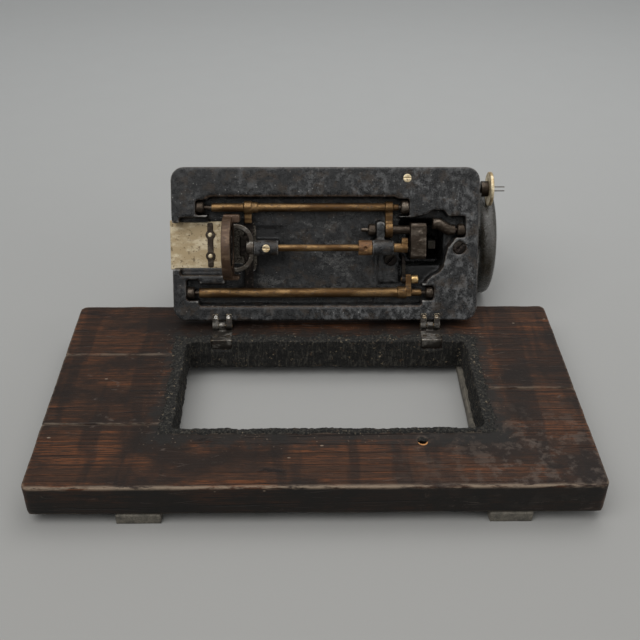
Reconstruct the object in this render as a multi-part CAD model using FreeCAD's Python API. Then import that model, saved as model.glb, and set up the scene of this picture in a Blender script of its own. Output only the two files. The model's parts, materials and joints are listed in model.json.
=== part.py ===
"""Old sewing machine on a thick wooden base board, tilted back on its bed hinges.

Everything is in millimetres.  The board is modelled flat on the floor.  The
machine is modelled closed and level, with X across, Y to the back and Z up,
from a datum on the rear edge of its bed's underside, halfway along the bed.
It is then swung back about the hinge pins until its handwheel meets the floor.
"""
import FreeCAD, Part
import math
import os

V = FreeCAD.Vector

# Base board
board_length = 588.0
board_depth = 316.0
board_thickness = 38.0
board_corner = 9.0
opening_from_front = 81.0
opening_shift = 14.0
opening_corner = 5.0
seam_left_front = 95.0
seam_left_rear = 216.0
seam_right = 152.0
batten_thickness = 13.0
batten_width = 46.0
batten_left_x = -181.0
batten_right_x = 199.0
batten_screw_radius = 3.5
batten_screw_margin = 30.0
batten_screw_bite = 20.0
peg_hole_radius = 5.0
peg_hole_depth = 25.0
peg_hole_from_opening = 13.5
peg_hole_from_right = 182.0
nail_hole_radius = 2.5
nail_hole_inset = 32.0
lining_thickness = 5.0
lining_band = 14.0
lining_top = 1.7
lining_gap = 0.3

# Machine bed
bed_length = 370.0
bed_depth = 185.0
bed_height = 22.0
bed_corner = 16.0
bed_edge_round = 3.0
bed_roof = 4.0
bed_lap_side = 13.0
bed_lap_front = 5.0
bed_lap_rear = 18.0
rest_gap = 0.3

# Bed hinges
hinge_left_inset = 59.0
hinge_right_inset = 57.0
hinge_width = 24.0
hinge_behind = 6.0
hinge_above_board = 5.0
knuckle_radius = 4.5
knuckle_middle = 8.0
knuckle_gap = 0.4
hinge_pin_radius = 2.3
leaf_thickness = 1.5
leaf_drop = 12.0
leaf_screw_radius = 2.8
finger_shank_radius = 5.0
finger_shank_length = 15.0
finger_tongue = 9.0
tongue_thickness = 1.2
set_screw_radius = 2.4
set_screw_spread = 7.5

# General fits
running_fit = 0.08
side_gap = 0.4
fixed_fit = 0.05

# Shuttle shaft, race and shuttle
shuttle_shaft_radius = 4.2
shuttle_shaft_drop = 14.0
needle_inset = 76.0
race_inset = 63.0
race_width = 10.5
race_outer_radius = 37.0
race_inner_radius = 27.0
race_ear_reach = 39.0
shuttle_play = 0.3
shuttle_width = 9.5
bobbin_radius = 13.0
driver_radius = 28.4
driver_corner = 21.0
driver_band = 5.4
driver_height = 9.0
boss_radius = 9.0
boss_length = 29.0
collar_radius = 9.0
collar_length = 16.0
bearing_length = 25.0
bearing_inset = 105.0
crank_throw = 7.5
crank_width = 7.5
crank_hub_length = 9.5
roller_radius = 4.4

# Rocking shafts under the bed
front_rod_radius = 5.2
front_rod_ahead = 47.0
rear_rod_radius = 6.0
rear_rod_behind = 56.5
rod_height = 8.0
pivot_pin_radius = 2.6
pivot_pin_length = 5.0
rock_lug_width = 10.0
rock_lug_half = 10.0
pivot_nut_radius = 7.5
pivot_nut_width = 10.0
stack_nut_radius = 9.0
pivot_screw_bite = 8.0
pocket_clearance = 1.5
front_left_gap = 8.5
front_right_gap = 2.5
rear_left_gap = 5.0
rear_right_gap = 4.5
rock_right_gap = 2.0
front_rod_left_inset = 47.5
front_rod_right_x_inset = 97.0
rod_neck_radius = 3.9
ledge_width = 3.6
ledge_depth = 1.6
rear_rod_left_inset = 31.0
rear_rod_right_x_inset = 67.5
rock_shaft_ahead = 20.0
rock_shaft_radius = 5.5
rock_shaft_height = 8.0
rock_left_x_inset = 113.4
rock_right_x_inset = 28.0
fork_width = 19.0
fork_reach = 34.5
arch_radius = 6.8
arch_bulge = 7.5
arm_width = 9.0
fork_mouth = 2.4
feed_crank_reach = 7.5
fork_pin_reach = 16.2
fork_pin_radius = 3.0
connection_width = 4.2
connection_top = 46.0

# Plates over the shuttle
plate_thickness = 2.6
plate_width = 59.0
plate_bevel = 1.2
plate_gap = 0.3
slide_plate_length = 60.0
slide_plate_overhang = 4.5
needle_plate_length = 41.0
spring_strip_width = 9.0
spring_strip_thickness = 1.3

# Arm, pillar and head
shaft_height = 152.3
arm_shaft_radius = 6.0
pillar_inset = 65.0
outer_bolt_inset = 23.0
outer_bolt_behind = 1.6
inner_bolt_inset = 105.2
inner_bolt_behind = 16.5
pillar_hole_length = 54.0
pillar_hole_depth = 64.0
pillar_cavity_depth = 48.0
arm_height = 48.0
arm_depth = 46.0
head_length = 66.0
head_depth = 50.0
head_above_shaft = 36.0
head_above_bed = 55.0
head_wall = 6.0
face_plate_thickness = 3.0
bar_radius = 3.6
presser_behind = 15.0
needle_stroke = 28.0
take_up_reach = 54.0
take_up_rise = 29.0
needle_radius = 0.7
foot_rest_gap = 0.3

# Handwheel and bobbin winder
wheel_radius = 75.0
wheel_rim_width = 22.0
wheel_rim_depth = 18.0
wheel_outer_reach = 39.5
hub_radius = 17.0
hub_recess = 11.0
spoke_count = 5
clutch_radius = 22.0
clutch_length = 9.0
winder_pulley_radius = 21.8
winder_pulley_width = 4.5
winder_collar_radius = 10.0
winder_collar_length = 9.0
winder_prong_length = 17.0
winder_ahead = 68.0
winder_gap = 0.6
winder_spindle_radius = 3.2
winder_split = 3.8

# Where the main lines lie, worked out from the sizes above
left_end = -bed_length / 2
right_end = bed_length / 2
centre_y = -bed_depth / 2 + 2.5
opening_length = bed_length - 2 * bed_lap_side
opening_depth = bed_depth - bed_lap_front - bed_lap_rear
board_front = -board_depth / 2
opening_front = board_front + opening_from_front
opening_rear = opening_front + opening_depth
opening_left = opening_shift - opening_length / 2
opening_right = opening_shift + opening_length / 2
board_top = batten_thickness + board_thickness
bed_underside = board_top + lining_top + rest_gap
axis_height = board_top + hinge_above_board
axis_y = opening_rear + bed_lap_rear + hinge_behind
axis_above_bed = axis_height - bed_underside
roof = bed_height - bed_roof
plate_under = bed_height - plate_thickness
shuttle_z = -shuttle_shaft_drop
race_left = left_end + race_inset
race_right = race_left + race_width
race_top = roof
needle_x = left_end + needle_inset
pillar_x = right_end - pillar_inset
hinge_lines = (left_end + hinge_left_inset, right_end - hinge_right_inset)


def lean_angle():
    """Angle of the bed behind the vertical, in degrees, with the wheel on the floor."""
    ahead = hinge_behind - centre_y
    above = shaft_height - axis_above_bed
    reach = math.hypot(ahead, above)
    return math.degrees(math.acos((wheel_radius - axis_height) / reach)
                        - math.atan2(above, ahead))


lean = lean_angle()


def box(x0, x1, y0, y1, z0, z1):
    """Box between two corners."""
    return Part.makeBox(x1 - x0, y1 - y0, z1 - z0, V(x0, y0, z0))


def rod_x(x0, x1, y, z, radius):
    """Round bar along X."""
    return Part.makeCylinder(radius, x1 - x0, V(x0, y, z), V(1, 0, 0))


def rod_y(x, y0, y1, z, radius):
    """Round bar along Y."""
    return Part.makeCylinder(radius, y1 - y0, V(x, y0, z), V(0, 1, 0))


def rod_z(x, y, z0, z1, radius):
    """Round bar along Z."""
    return Part.makeCylinder(radius, z1 - z0, V(x, y, z0), V(0, 0, 1))


def bar_between(start, end, radius):
    """Round bar between two points."""
    along = end.sub(start)
    return Part.makeCylinder(radius, along.Length, start, along)


def fused(shapes):
    """One solid out of overlapping ones."""
    whole = shapes[0].multiFuse(shapes[1:]) if len(shapes) > 1 else shapes[0]
    return whole.removeSplitter()


def rounded_plate(x0, x1, y0, y1, z0, z1, radius):
    """Box whose four upright edges are rounded."""
    slab = box(x0, x1, y0, y1, z0, z1)
    upright = [e for e in slab.Edges if abs(e.tangentAt(e.FirstParameter).z) > 0.99]
    limit = 0.49 * min(x1 - x0, y1 - y0)
    return slab.makeFillet(min(radius, limit), upright)


def prism_x(outline, x0, x1):
    """Closed outline of (y, z) points drawn out along X."""
    points = [V(x0, y, z) for y, z in outline]
    face = Part.Face(Part.makePolygon(points + points[:1]))
    return face.extrude(V(x1 - x0, 0, 0))


def prism_z(outline, z0, z1):
    """Closed outline of (x, y) points drawn out along Z."""
    points = [V(x, y, z0) for x, y in outline]
    face = Part.Face(Part.makePolygon(points + points[:1]))
    return face.extrude(V(0, 0, z1 - z0))


def section_z(x0, x1, y0, y1, z, radius):
    """Rounded rectangle across Z, for lofts."""
    slab = rounded_plate(x0, x1, y0, y1, z, z + 1, radius)
    floor = min(slab.Faces, key=lambda f: f.CenterOfMass.z)
    return floor.OuterWire


def section_x(x, y0, y1, z0, z1, radius):
    """Rounded rectangle across X, for lofts."""
    wire = section_z(z0, z1, y0, y1, 0, radius)
    wire = wire.copy()
    wire.rotate(V(0, 0, 0), V(0, 1, 0), -90)
    wire.translate(V(x, 0, 0))
    return wire


def slotted_head(shape, centre, across, width, depth, toward):
    """Cut a screwdriver slot along X into a screw head facing up or down."""
    z0, z1 = (centre.z - depth, centre.z + 1) if toward > 0 else (centre.z - 1, centre.z + depth)
    slot = box(centre.x - across, centre.x + across,
               centre.y - width / 2, centre.y + width / 2, z0, z1)
    return shape.cut(slot)


def round_edges(shape, radius, wanted):
    """Fillet the edges that a test picks out."""
    edges = [e for e in shape.Edges if wanted(e)]
    return shape.makeFillet(radius, edges) if edges else shape


def along_x(edge):
    """True for a straight edge along X."""
    return abs(edge.tangentAt(edge.FirstParameter).x) > 0.99


# Board


def board_zone(x0, x1, y0, y1):
    """Part of the rounded board, between the battens and its top face."""
    half = board_length / 2
    whole = rounded_plate(-half, half, board_front, -board_front,
                          batten_thickness, board_top, board_corner)
    return whole.common(box(x0, x1, y0, y1, batten_thickness, board_top))


def opening_cut():
    """The opening through the board."""
    return rounded_plate(opening_left, opening_right, opening_front, opening_rear,
                         batten_thickness - 1, board_top + 1, opening_corner)


def batten_screw_points():
    """Centres of the screws that hold the battens, two per batten end."""
    spread = batten_width / 5
    for batten_x in (batten_left_x, batten_right_x):
        for y in (board_front + batten_screw_margin, -board_front - batten_screw_margin):
            yield batten_x - spread, y
            yield batten_x + spread, y


def screw_holes():
    """Holes for the batten screws through battens and planks."""
    top = batten_thickness + batten_screw_bite
    return [rod_z(x, y, 0, top, batten_screw_radius + fixed_fit) for x, y in batten_screw_points()]


def drilled_holes():
    """The bored hole in front of the opening and the small one at the back corner."""
    right = board_length / 2
    return [rod_z(right - peg_hole_from_right, opening_front - peg_hole_from_opening,
                  board_top - peg_hole_depth, board_top + 1, peg_hole_radius),
            rod_z(right - nail_hole_inset, -board_front - nail_hole_inset / 2.4,
                  board_top - peg_hole_depth / 2, board_top + 1, nail_hole_radius)]


def board_planks():
    """The three planks that make up the board."""
    edge = board_length / 2 + 1
    front_y = board_front + seam_left_front
    rear_y = board_front + seam_left_rear
    right_y = board_front + seam_right
    far = board_depth / 2 + 1
    front = fused([board_zone(-edge, opening_left, -far, front_y),
                   board_zone(opening_left, edge, -far, right_y)])
    rear = fused([board_zone(-edge, opening_left, rear_y, far),
                  board_zone(opening_left, edge, right_y, far)])
    left = board_zone(-edge, opening_left, front_y, rear_y)
    rebates = []
    for x in hinge_lines:
        half = hinge_width / 2 + fixed_fit
        x = x + opening_shift
        rebates.append(box(x - half, x + half, opening_rear - leaf_thickness - fixed_fit,
                           axis_y + knuckle_radius + fixed_fit,
                           board_top - leaf_thickness - fixed_fit, board_top + 1))
        rebates.append(box(x - half, x + half, opening_rear - 1,
                           opening_rear + leaf_thickness + fixed_fit,
                           board_top - leaf_drop - fixed_fit, board_top + 1))
    holes = [opening_cut()] + screw_holes() + rebates + leaf_screw_holes() + drilled_holes()
    return front.cut(holes), rear.cut(holes), left.cut(holes)


def battens():
    """The two cross battens under the board."""
    bars = [box(x - batten_width / 2, x + batten_width / 2, board_front, -board_front,
                0, batten_thickness).cut(screw_holes())
            for x in (batten_left_x, batten_right_x)]
    return Part.makeCompound(bars)


def batten_screws():
    """Screws driven up through the battens into the planks, slots facing down."""
    shapes = []
    for x, y in batten_screw_points():
        shank = rod_z(x, y, 0.5, batten_thickness + batten_screw_bite - 0.5, batten_screw_radius)
        shapes.append(slotted_head(shank, V(x, y, 0.5), batten_screw_radius, 1.0, 1.2, -1))
    return shapes


def opening_lining():
    """Felt on the walls of the opening and in a band on the board around it."""
    gap = fixed_fit
    outer = rounded_plate(opening_left + gap, opening_right - gap, opening_front + gap,
                          opening_rear - gap, batten_thickness, board_top + gap, opening_corner)
    band = rounded_plate(opening_left - lining_band, opening_right + lining_band,
                         opening_front - lining_band, opening_rear + lining_band,
                         board_top + gap, board_top + lining_top, lining_band)
    inner = rounded_plate(opening_left + lining_thickness, opening_right - lining_thickness,
                          opening_front + lining_thickness, opening_rear - lining_thickness,
                          0, board_top + 5, opening_corner)
    felt = fused([outer, band]).cut(inner)
    for x in hinge_lines:
        half = hinge_width / 2 + lining_gap
        x = x + opening_shift
        felt = felt.cut(box(x - half, x + half, opening_rear - lining_thickness - 1,
                            opening_rear + lining_band + 1,
                            board_top - leaf_drop - lining_gap, board_top + 5))
    return felt


# Bed hinges, with the board in its own frame


def leaf_screw_points(x):
    """Centres of the two wood screws of a hinge leaf."""
    y = opening_rear + bed_lap_rear / 2
    return [(x - hinge_width / 3.2, y), (x + hinge_width / 3.2, y)]


def leaf_screw_holes():
    """Holes in the rear plank for the hinge leaf screws."""
    return [rod_z(sx, sy, board_top - 12, board_top + 1, leaf_screw_radius / 2 + fixed_fit)
            for x in hinge_lines for sx, sy in leaf_screw_points(x + opening_shift)]


def hinge_leaf(x):
    """Leaf let into the board, with a lip down the opening and the middle knuckle."""
    half = hinge_width / 2
    plate = box(x - half, x + half, opening_rear, axis_y + knuckle_radius,
                board_top - leaf_thickness, board_top)
    lip = box(x - half, x + half, opening_rear, opening_rear + leaf_thickness,
              board_top - leaf_drop, board_top)
    middle = knuckle_middle / 2
    knuckle = rod_x(x - middle, x + middle, axis_y, axis_height, knuckle_radius)
    web = box(x - middle, x + middle, axis_y - knuckle_radius, axis_y + knuckle_radius,
              board_top - leaf_thickness, axis_height)
    leaf = fused([plate, lip, knuckle, web])
    pin = rod_x(x - half, x + half, axis_y, axis_height, hinge_pin_radius + fixed_fit)
    holes = [rod_z(sx, sy, board_top - 5, board_top + 1, leaf_screw_radius / 2 + fixed_fit)
             for sx, sy in leaf_screw_points(x)]
    heads = [rod_z(sx, sy, board_top - 0.9, board_top + 1, leaf_screw_radius + fixed_fit)
             for sx, sy in leaf_screw_points(x)]
    return leaf.cut([pin] + holes + heads)


def leaf_screws():
    """Wood screws of both hinge leaves, heads flush with the leaf."""
    shapes = []
    for x in hinge_lines:
        for sx, sy in leaf_screw_points(x + opening_shift):
            head = rod_z(sx, sy, board_top - 0.9, board_top - 0.05, leaf_screw_radius)
            shank = rod_z(sx, sy, board_top - 12 + 0.2, board_top - 0.9, leaf_screw_radius / 2)
            screw = fused([head, shank])
            shapes.append(slotted_head(screw, V(sx, sy, board_top - 0.05),
                                       leaf_screw_radius, 0.8, 0.5, 1))
    return shapes


def hinge_pins():
    """Brass pins of both hinges, fast in the leaves."""
    half = hinge_width / 2
    return Part.makeCompound([rod_x(x + opening_shift - half, x + opening_shift + half,
                                    axis_y, axis_height, hinge_pin_radius)
                              for x in hinge_lines])


def hinge_finger(x):
    """Hinge half on the bed: two knuckles, a tongue under the rim and a shank in it."""
    half = hinge_width / 2
    inner = knuckle_middle / 2 + knuckle_gap
    shank_z = bed_height / 2
    shapes = [box(x - half, x + half, fixed_fit, hinge_behind - knuckle_radius / 2,
                  shank_z - finger_shank_radius, shank_z + finger_shank_radius),
              rod_y(x, -finger_shank_length, hinge_behind / 2, shank_z, finger_shank_radius)]
    slant = [(fixed_fit, -tongue_thickness), (hinge_behind, axis_above_bed - knuckle_radius),
             (hinge_behind + knuckle_radius * 0.7, axis_above_bed + knuckle_radius * 0.7),
             (hinge_behind - knuckle_radius / 2, shank_z), (fixed_fit, shank_z)]
    for x0, x1 in ((x - half, x - inner), (x + inner, x + half)):
        shapes.append(rod_x(x0, x1, hinge_behind, axis_above_bed, knuckle_radius))
        shapes.append(prism_x(slant, x0, x1))
        shapes.append(rounded_plate(x0, x1, -finger_tongue, 1, -tongue_thickness,
                                    -fixed_fit, 2))
    finger = fused(shapes)
    bore = rod_x(x - half - 1, x + half + 1, hinge_behind, axis_above_bed,
                 hinge_pin_radius + running_fit)
    leaf_room = rod_x(x - inner, x + inner, hinge_behind, axis_above_bed,
                      knuckle_radius + side_gap)
    return finger.cut([bore, leaf_room] + set_screw_shapes(x, fixed_fit))


def set_screw_shapes(x, ease):
    """Set screws through one hinge finger's tongue, with some ease for their holes."""
    y = -finger_tongue / 2
    return [rod_z(x + side * set_screw_spread, y, -tongue_thickness - 0.5, 6.0,
                  set_screw_radius + ease) for side in (-1, 1)]


def hinge_set_screws():
    """Bright set screws that hold the fingers in the bed, slots facing down."""
    shapes = []
    for x in hinge_lines:
        for screw in set_screw_shapes(x, 0):
            centre = screw.BoundBox.Center
            tip = V(centre.x, centre.y, screw.BoundBox.ZMin)
            shapes.append(slotted_head(screw, tip, set_screw_radius, 0.9, 0.7, -1))
    return Part.makeCompound(shapes)


# Machine bed

front_rod_y = centre_y - front_rod_ahead
rear_rod_y = centre_y + rear_rod_behind
rock_y = centre_y - rock_shaft_ahead
front_rod_x = (left_end + front_rod_left_inset, right_end - front_rod_right_x_inset)
rear_rod_x = (left_end + rear_rod_left_inset, right_end - rear_rod_right_x_inset)
rock_x = (right_end - rock_left_x_inset, right_end - rock_right_x_inset)
recess_front = front_rod_y - 16.0
recess_rear = rear_rod_y + 14.5
pillar_hole = (pillar_x - 30.0, pillar_x - 30.0 + pillar_hole_length)
pillar_hole_y = (centre_y - pillar_hole_depth / 2, centre_y + pillar_cavity_depth / 2)
plate_front = centre_y - plate_width / 2 - 1.0
plate_rear = plate_front + plate_width
boss_x = (race_left + 36.5, race_left + 36.5 + boss_length)
bearing_right = right_end - bearing_inset
shaft_collar_x = bearing_right - bearing_length - side_gap - collar_length
arm_bolts_at = ((right_end - outer_bolt_inset, centre_y + outer_bolt_behind),
                (right_end - inner_bolt_inset, centre_y + inner_bolt_behind))
arm_bolt_radius = 7.8
arm_bolt_shank = 5.0
arm_bolt_bite = 12.0
land_x = pillar_hole[0] - 24.5
land_drop = 2.2
foot = (pillar_x - 60.0, pillar_x + 58.0, centre_y - 42.0, centre_y + 42.0)


def pivots():
    """Each pivot as (x of rod end, direction away from the rod, y, z, gap to nut, nut radius)."""
    front, rear = (front_rod_y, rod_height), (rear_rod_y, rod_height)
    rock = (rock_y, rock_shaft_height)
    return [(front_rod_x[0], -1, *front, front_left_gap, pivot_nut_radius),
            (front_rod_x[1], 1, *front, front_right_gap, stack_nut_radius),
            (rear_rod_x[0], -1, *rear, rear_left_gap, pivot_nut_radius),
            (rear_rod_x[1], 1, *rear, rear_right_gap, pivot_nut_radius),
            (rock_x[0], -1, *rock, side_gap + rock_lug_width, pivot_nut_radius),
            (rock_x[1], 1, *rock, rock_right_gap, pivot_nut_radius)]


def span(x, side, near, far):
    """Ordered pair of x values at two distances from x on one side."""
    a, b = x + side * near, x + side * far
    return min(a, b), max(a, b)


def pivot_pocket(x, side, y, z, gap, radius):
    """Open pocket in the bed round a pivot's nut."""
    x0, x1 = span(x, side, side_gap - 1.5, gap + pivot_nut_width + fixed_fit)
    half = radius + pocket_clearance
    ahead = half + 8.0 if (x, side) in ((rear_rod_x[0], -1), (rock_x[1], 1)) else half
    return box(x0, x1, y - ahead, y + half, -1, min(z + radius + 1, roof))


def bed_casting():
    """Rimmed bed plate, open underneath, with bosses, lands and openings."""
    body = rounded_plate(left_end, right_end, -bed_depth, 0, 0, bed_height, bed_corner)
    body = round_edges(body, bed_edge_round,
                       lambda e: e.BoundBox.ZMin > bed_height - 0.01)
    body = round_edges(body, 0.8, lambda e: e.BoundBox.ZMax < 0.01)
    left, right = front_rod_x[0] - side_gap - 4.5, front_rod_x[1] + side_gap
    deep = recess_front + ledge_width
    front_ledge = prism_z([(left - 8, recess_front + 10), (left, recess_front),
                           (right - 4, recess_front), (right, recess_front + 4),
                           (right, front_rod_y), (left - 8, front_rod_y)], -1, ledge_depth)
    front_channel = prism_z([(left, deep + 3), (left + 3, deep), (right - 4, deep),
                             (right, deep + 4), (right, centre_y), (left, centre_y)], -1, roof)
    field = box(race_left, land_x, deep + 1, recess_rear, -1, roof)
    rear_channel = box(rear_rod_x[0] - side_gap, rear_rod_x[1] + side_gap,
                       rear_rod_y - 12, recess_rear, -1, roof)
    rear_ledge = rounded_plate(rear_rod_x[0] - side_gap, rear_rod_x[1] + side_gap,
                               rear_rod_y, recess_rear + ledge_width, -1, ledge_depth, 3)
    land = box(land_x - 1, pillar_hole[0] + 2, centre_y, recess_rear, -1, roof - land_drop)
    rib = box(land_x - 5.5, land_x - 3.0, centre_y + boss_radius, recess_rear,
              roof - land_drop, roof + 0.1)
    works_right = rock_x[1] + side_gap
    works = prism_z([(land_x - 1, rock_y - 15), (fork_x(), rock_y - 15),
                     (fork_x() + fork_width, rock_y - 19), (fork_x() + fork_width + 8, rock_y - 24),
                     (works_right - 15, rock_y - 24), (works_right - 9, rock_y - 16.5),
                     (works_right, rock_y - 16.5), (works_right, rock_y + 9),
                     (works_right - 8, rock_y + 20), (land_x - 1, rock_y + 20)], -1, roof)
    cut = [front_ledge, front_channel, field, rear_channel, rear_ledge, land, works]
    cut += [pivot_pocket(*row) for row in pivots()]
    body = body.cut(cut).fuse(rib)
    return body.cut(bed_openings()).fuse(bed_bosses()).cut(bed_holes()).removeSplitter()


def fork_x():
    """Left side of the rock shaft's fork block."""
    return pillar_hole[0] + 12.0


def bed_openings():
    """Openings through the bed for the pillar, the race and the plates."""
    x0, x1 = pillar_hole
    y0, y1 = pillar_hole_y
    pillar = rounded_plate(x0, x1, y0, y1, -1, bed_height + 1, 6)
    throat = prism_z([(x0, rock_y - 15), (x1 + 5, rock_y), (x1 + 4.5, centre_y - 2),
                      (x1 + 1, centre_y + 14), (x1 - 1, centre_y + 24), (x1 - 6, centre_y + 31),
                      (x1 - 14, centre_y + 35), (x1 - 20, centre_y + 40),
                      (x1 - 22, centre_y + 45), (x0, centre_y + 45)], -1, roof)
    race = box(race_left - 1.5, boss_x[0] - 1.0, centre_y - race_ear_reach - 2,
               centre_y + race_ear_reach + 2, -1, race_top)
    well = box(boss_x[0] - 2.0, boss_x[1] + 5.0, centre_y - 24, centre_y + 24, -1, roof + 1)
    crank = feed_crank_x()
    feed_slot = box(crank[0] - 8, crank[1] + 8, rear_rod_y - 6, rear_rod_y + 6, -1, roof + 1.2)
    feed_way = box(race_left + 20, boss_x[0] + 2, centre_y, rear_rod_y, -1, roof + 1.2)
    slot_shelf = box(left_end + 9, race_left + 1, plate_front - 5, plate_rear + 6, -1, roof - 3)
    through = box(left_end - 1, race_left + 1, plate_front + 2, plate_rear - 2, -1,
                  bed_height + 1)
    under = box(race_left - 1, needle_plate_x()[1] - 2, plate_front + 8, plate_rear - 8, 0,
                bed_height + 1)
    plates = prism_x(plate_profile(plate_gap), left_end - 1, needle_plate_x()[1] + plate_gap)
    return [pillar, throat, race, well, feed_slot, feed_way, slot_shelf, through, under, plates]


def needle_plate_x():
    """Where the needle plate begins and ends."""
    start = left_end + slide_plate_length + plate_gap
    return start, start + needle_plate_length


def plate_profile(ease):
    """Bevelled cross-section of the plates over the shuttle, as (y, z) points."""
    return [(plate_front - plate_bevel - ease, plate_under - ease / 2),
            (plate_rear + plate_bevel + ease, plate_under - ease / 2),
            (plate_rear + ease, bed_height + (1 if ease else 0)),
            (plate_front - ease, bed_height + (1 if ease else 0))]


def bed_bosses():
    """Bearing bosses that hang from the bed for the shuttle shaft."""
    shapes = []
    for x0, x1 in (boss_x, (bearing_right - bearing_length, bearing_right)):
        shapes.append(rod_x(x0, x1, centre_y, shuttle_z, boss_radius))
        shapes.append(box(x0, x1, centre_y - boss_radius + 1, centre_y + boss_radius - 1,
                          shuttle_z, roof + 1.2))
    x0, x1 = span(rock_x[0], -1, side_gap, side_gap + rock_lug_width - fixed_fit)
    lug = rounded_plate(x0, x1, rock_y - rock_lug_half, rock_y + rock_lug_half, -1.0,
                        bed_height - 2, 3)
    shapes.append(lug)
    return shapes


def bed_holes():
    """Bores and screw holes in the bed."""
    holes = [rod_x(left_end, right_end, centre_y, shuttle_z, shuttle_shaft_radius + running_fit),
             taper_screw_shape(fixed_fit)]
    for x, side, y, z, gap, _ in pivots():
        x0, x1 = span(x, side, side_gap - 0.1, gap + pivot_nut_width + pivot_screw_bite + 0.3)
        holes.append(rod_x(x0, x1, y, z, pivot_pin_radius + fixed_fit))
    for x, y in arm_bolts_at:
        holes.append(rod_z(x, y, -1, bed_height + 1, arm_bolt_shank + fixed_fit))
        holes.append(rod_z(x, y, -1, arm_bolt_seat(x), arm_bolt_radius + fixed_fit))
    for x in hinge_lines:
        holes.append(rod_y(x, -finger_shank_length - fixed_fit, 1, bed_height / 2,
                           finger_shank_radius + fixed_fit))
        holes += set_screw_shapes(x, fixed_fit)
    holes.append(rod_z(right_end - 26.0, centre_y + 15.5, -1, 6, 1.8))
    holes.append(gauge_screw_shape(fixed_fit))
    holes.append(rod_z(*gauge_screw_at, -1, 1, gauge_head_radius + fixed_fit))
    for x, y in race_screws_at():
        holes.append(rod_z(x, y, race_top - 12, bed_height - 1.5, race_screw_radius + fixed_fit))
    for x, y in plate_screws_at():
        holes.append(rod_z(x, y, plate_under - 2.2, bed_height, plate_screw_radius + fixed_fit))
    return holes


gauge_screw_at = (right_end - 87.5, -bed_depth + 13.0)
gauge_head_radius = 5.0
gauge_head_height = 2.2
gauge_screw_length = 9.0
race_screw_radius = 2.2
plate_screw_radius = 1.6


def arm_bolt_seat(x):
    """Height of the face that an arm bolt's head bears on."""
    return 4.8 if x > pillar_x else roof - 1.5


def arm_bolts():
    """Two big slotted screws that hold the arm on the bed."""
    shapes = []
    for x, y in arm_bolts_at:
        seat = arm_bolt_seat(x)
        head = rod_z(x, y, seat - 3.4, seat - fixed_fit, arm_bolt_radius)
        shank = rod_z(x, y, seat - 1, bed_height + arm_bolt_bite - 0.5, arm_bolt_shank)
        bolt = slotted_head(fused([head, shank]), V(x, y, seat - 3.4), arm_bolt_radius + 1,
                            2.0, 1.8, -1)
        bolt.rotate(V(x, y, 0), V(0, 0, 1), -48)
        shapes.append(bolt)
    return Part.makeCompound(shapes)


def gauge_screw_shape(ease):
    """Head and shank of the screw in the front of the bed, with ease for its hole."""
    x, y = gauge_screw_at
    head = rod_z(x, y, 0.1 - ease, gauge_head_height + ease, gauge_head_radius + ease)
    shank = rod_z(x, y, 1, gauge_screw_length + ease, gauge_head_radius * 0.6 + ease)
    return fused([head, shank])


def gauge_screw():
    """Brass slotted screw let into the front of the bed."""
    x, y = gauge_screw_at
    return slotted_head(gauge_screw_shape(0), V(x, y, 0.1), gauge_head_radius, 1.2, 0.9, -1)


def pivot_screws():
    """Centre screws that the rocking shafts turn on, fast in the bed."""
    shapes = []
    for x, side, y, z, gap, _ in pivots():
        x0, x1 = span(x, side, -pivot_pin_length, gap + pivot_nut_width + pivot_screw_bite)
        shapes.append(rod_x(x0, x1, y, z, pivot_pin_radius))
    return Part.makeCompound(shapes)


def pivot_nuts():
    """Rounded lock nuts on the centre screws, one of them a stack of three discs."""
    shapes = []
    for x, side, y, z, gap, radius in pivots():
        x0, x1 = span(x, side, gap + fixed_fit, gap + pivot_nut_width)
        nut = rod_x(x0, x1, y, z, radius)
        nut = nut.makeFillet(2.6, [e for e in nut.Edges if e.BoundBox.XLength < 0.01])
        if radius > pivot_nut_radius:
            third = (x1 - x0) / 3
            nut = nut.cut([rod_x(x0 + i * third - 0.5, x0 + i * third + 0.5, y, z, radius + 1).cut(
                rod_x(x0 + i * third - 1, x0 + i * third + 1, y, z, radius - 1.4))
                for i in (1, 2)])
        shapes.append(nut.cut(rod_x(x0 - 1, x1 + 1, y, z, pivot_pin_radius + fixed_fit)))
    return Part.makeCompound(shapes)


# Shuttle, its race and its shaft


def shuttle_race():
    """Ring that the shuttle turns in, cut flat under the plates, with two ears."""
    ring = rod_x(race_left, race_right, centre_y, shuttle_z, race_outer_radius)
    ears = box(race_left, race_right, centre_y - race_ear_reach, centre_y + race_ear_reach,
               shuttle_z + 2, race_top)
    hoods = []
    for y0, y1, reach in ((centre_y - race_ear_reach, centre_y - race_ear_reach + 9.5, 9.0),
                          (centre_y + race_ear_reach - 5.5, centre_y + race_ear_reach, 8.0)):
        hood = box(race_left, race_right + reach, y0, y1, shuttle_z + 2, shuttle_z + 20)
        hoods.append(round_edges(hood, 2.6, lambda e: abs(e.tangentAt(e.FirstParameter).z) > 0.99
                                 and e.BoundBox.XMin > race_right))
    body = fused([ring, ears] + hoods)
    above = box(race_left - 1, race_right + 20, centre_y - 60, centre_y + 60,
                race_top - fixed_fit, 60)
    bore = rod_x(race_left - 1, race_right + 1, centre_y, shuttle_z, race_inner_radius)
    holes = [rod_z(x, y, race_top - 13, race_top + 1, race_screw_radius + fixed_fit)
             for x, y in race_screws_at()]
    return body.cut([above, bore] + holes)


def race_screws_at():
    """Centres of the screws that hang the race from the bed."""
    x = (race_left + race_right) / 2
    return [(x, centre_y - race_ear_reach + 4.0), (x, centre_y + race_ear_reach - 4.0)]


def race_screws():
    """Two screws up through the race's ears."""
    return [rod_z(x, y, race_top - 12.5, bed_height - 2.0, race_screw_radius)
            for x, y in race_screws_at()]


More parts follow.
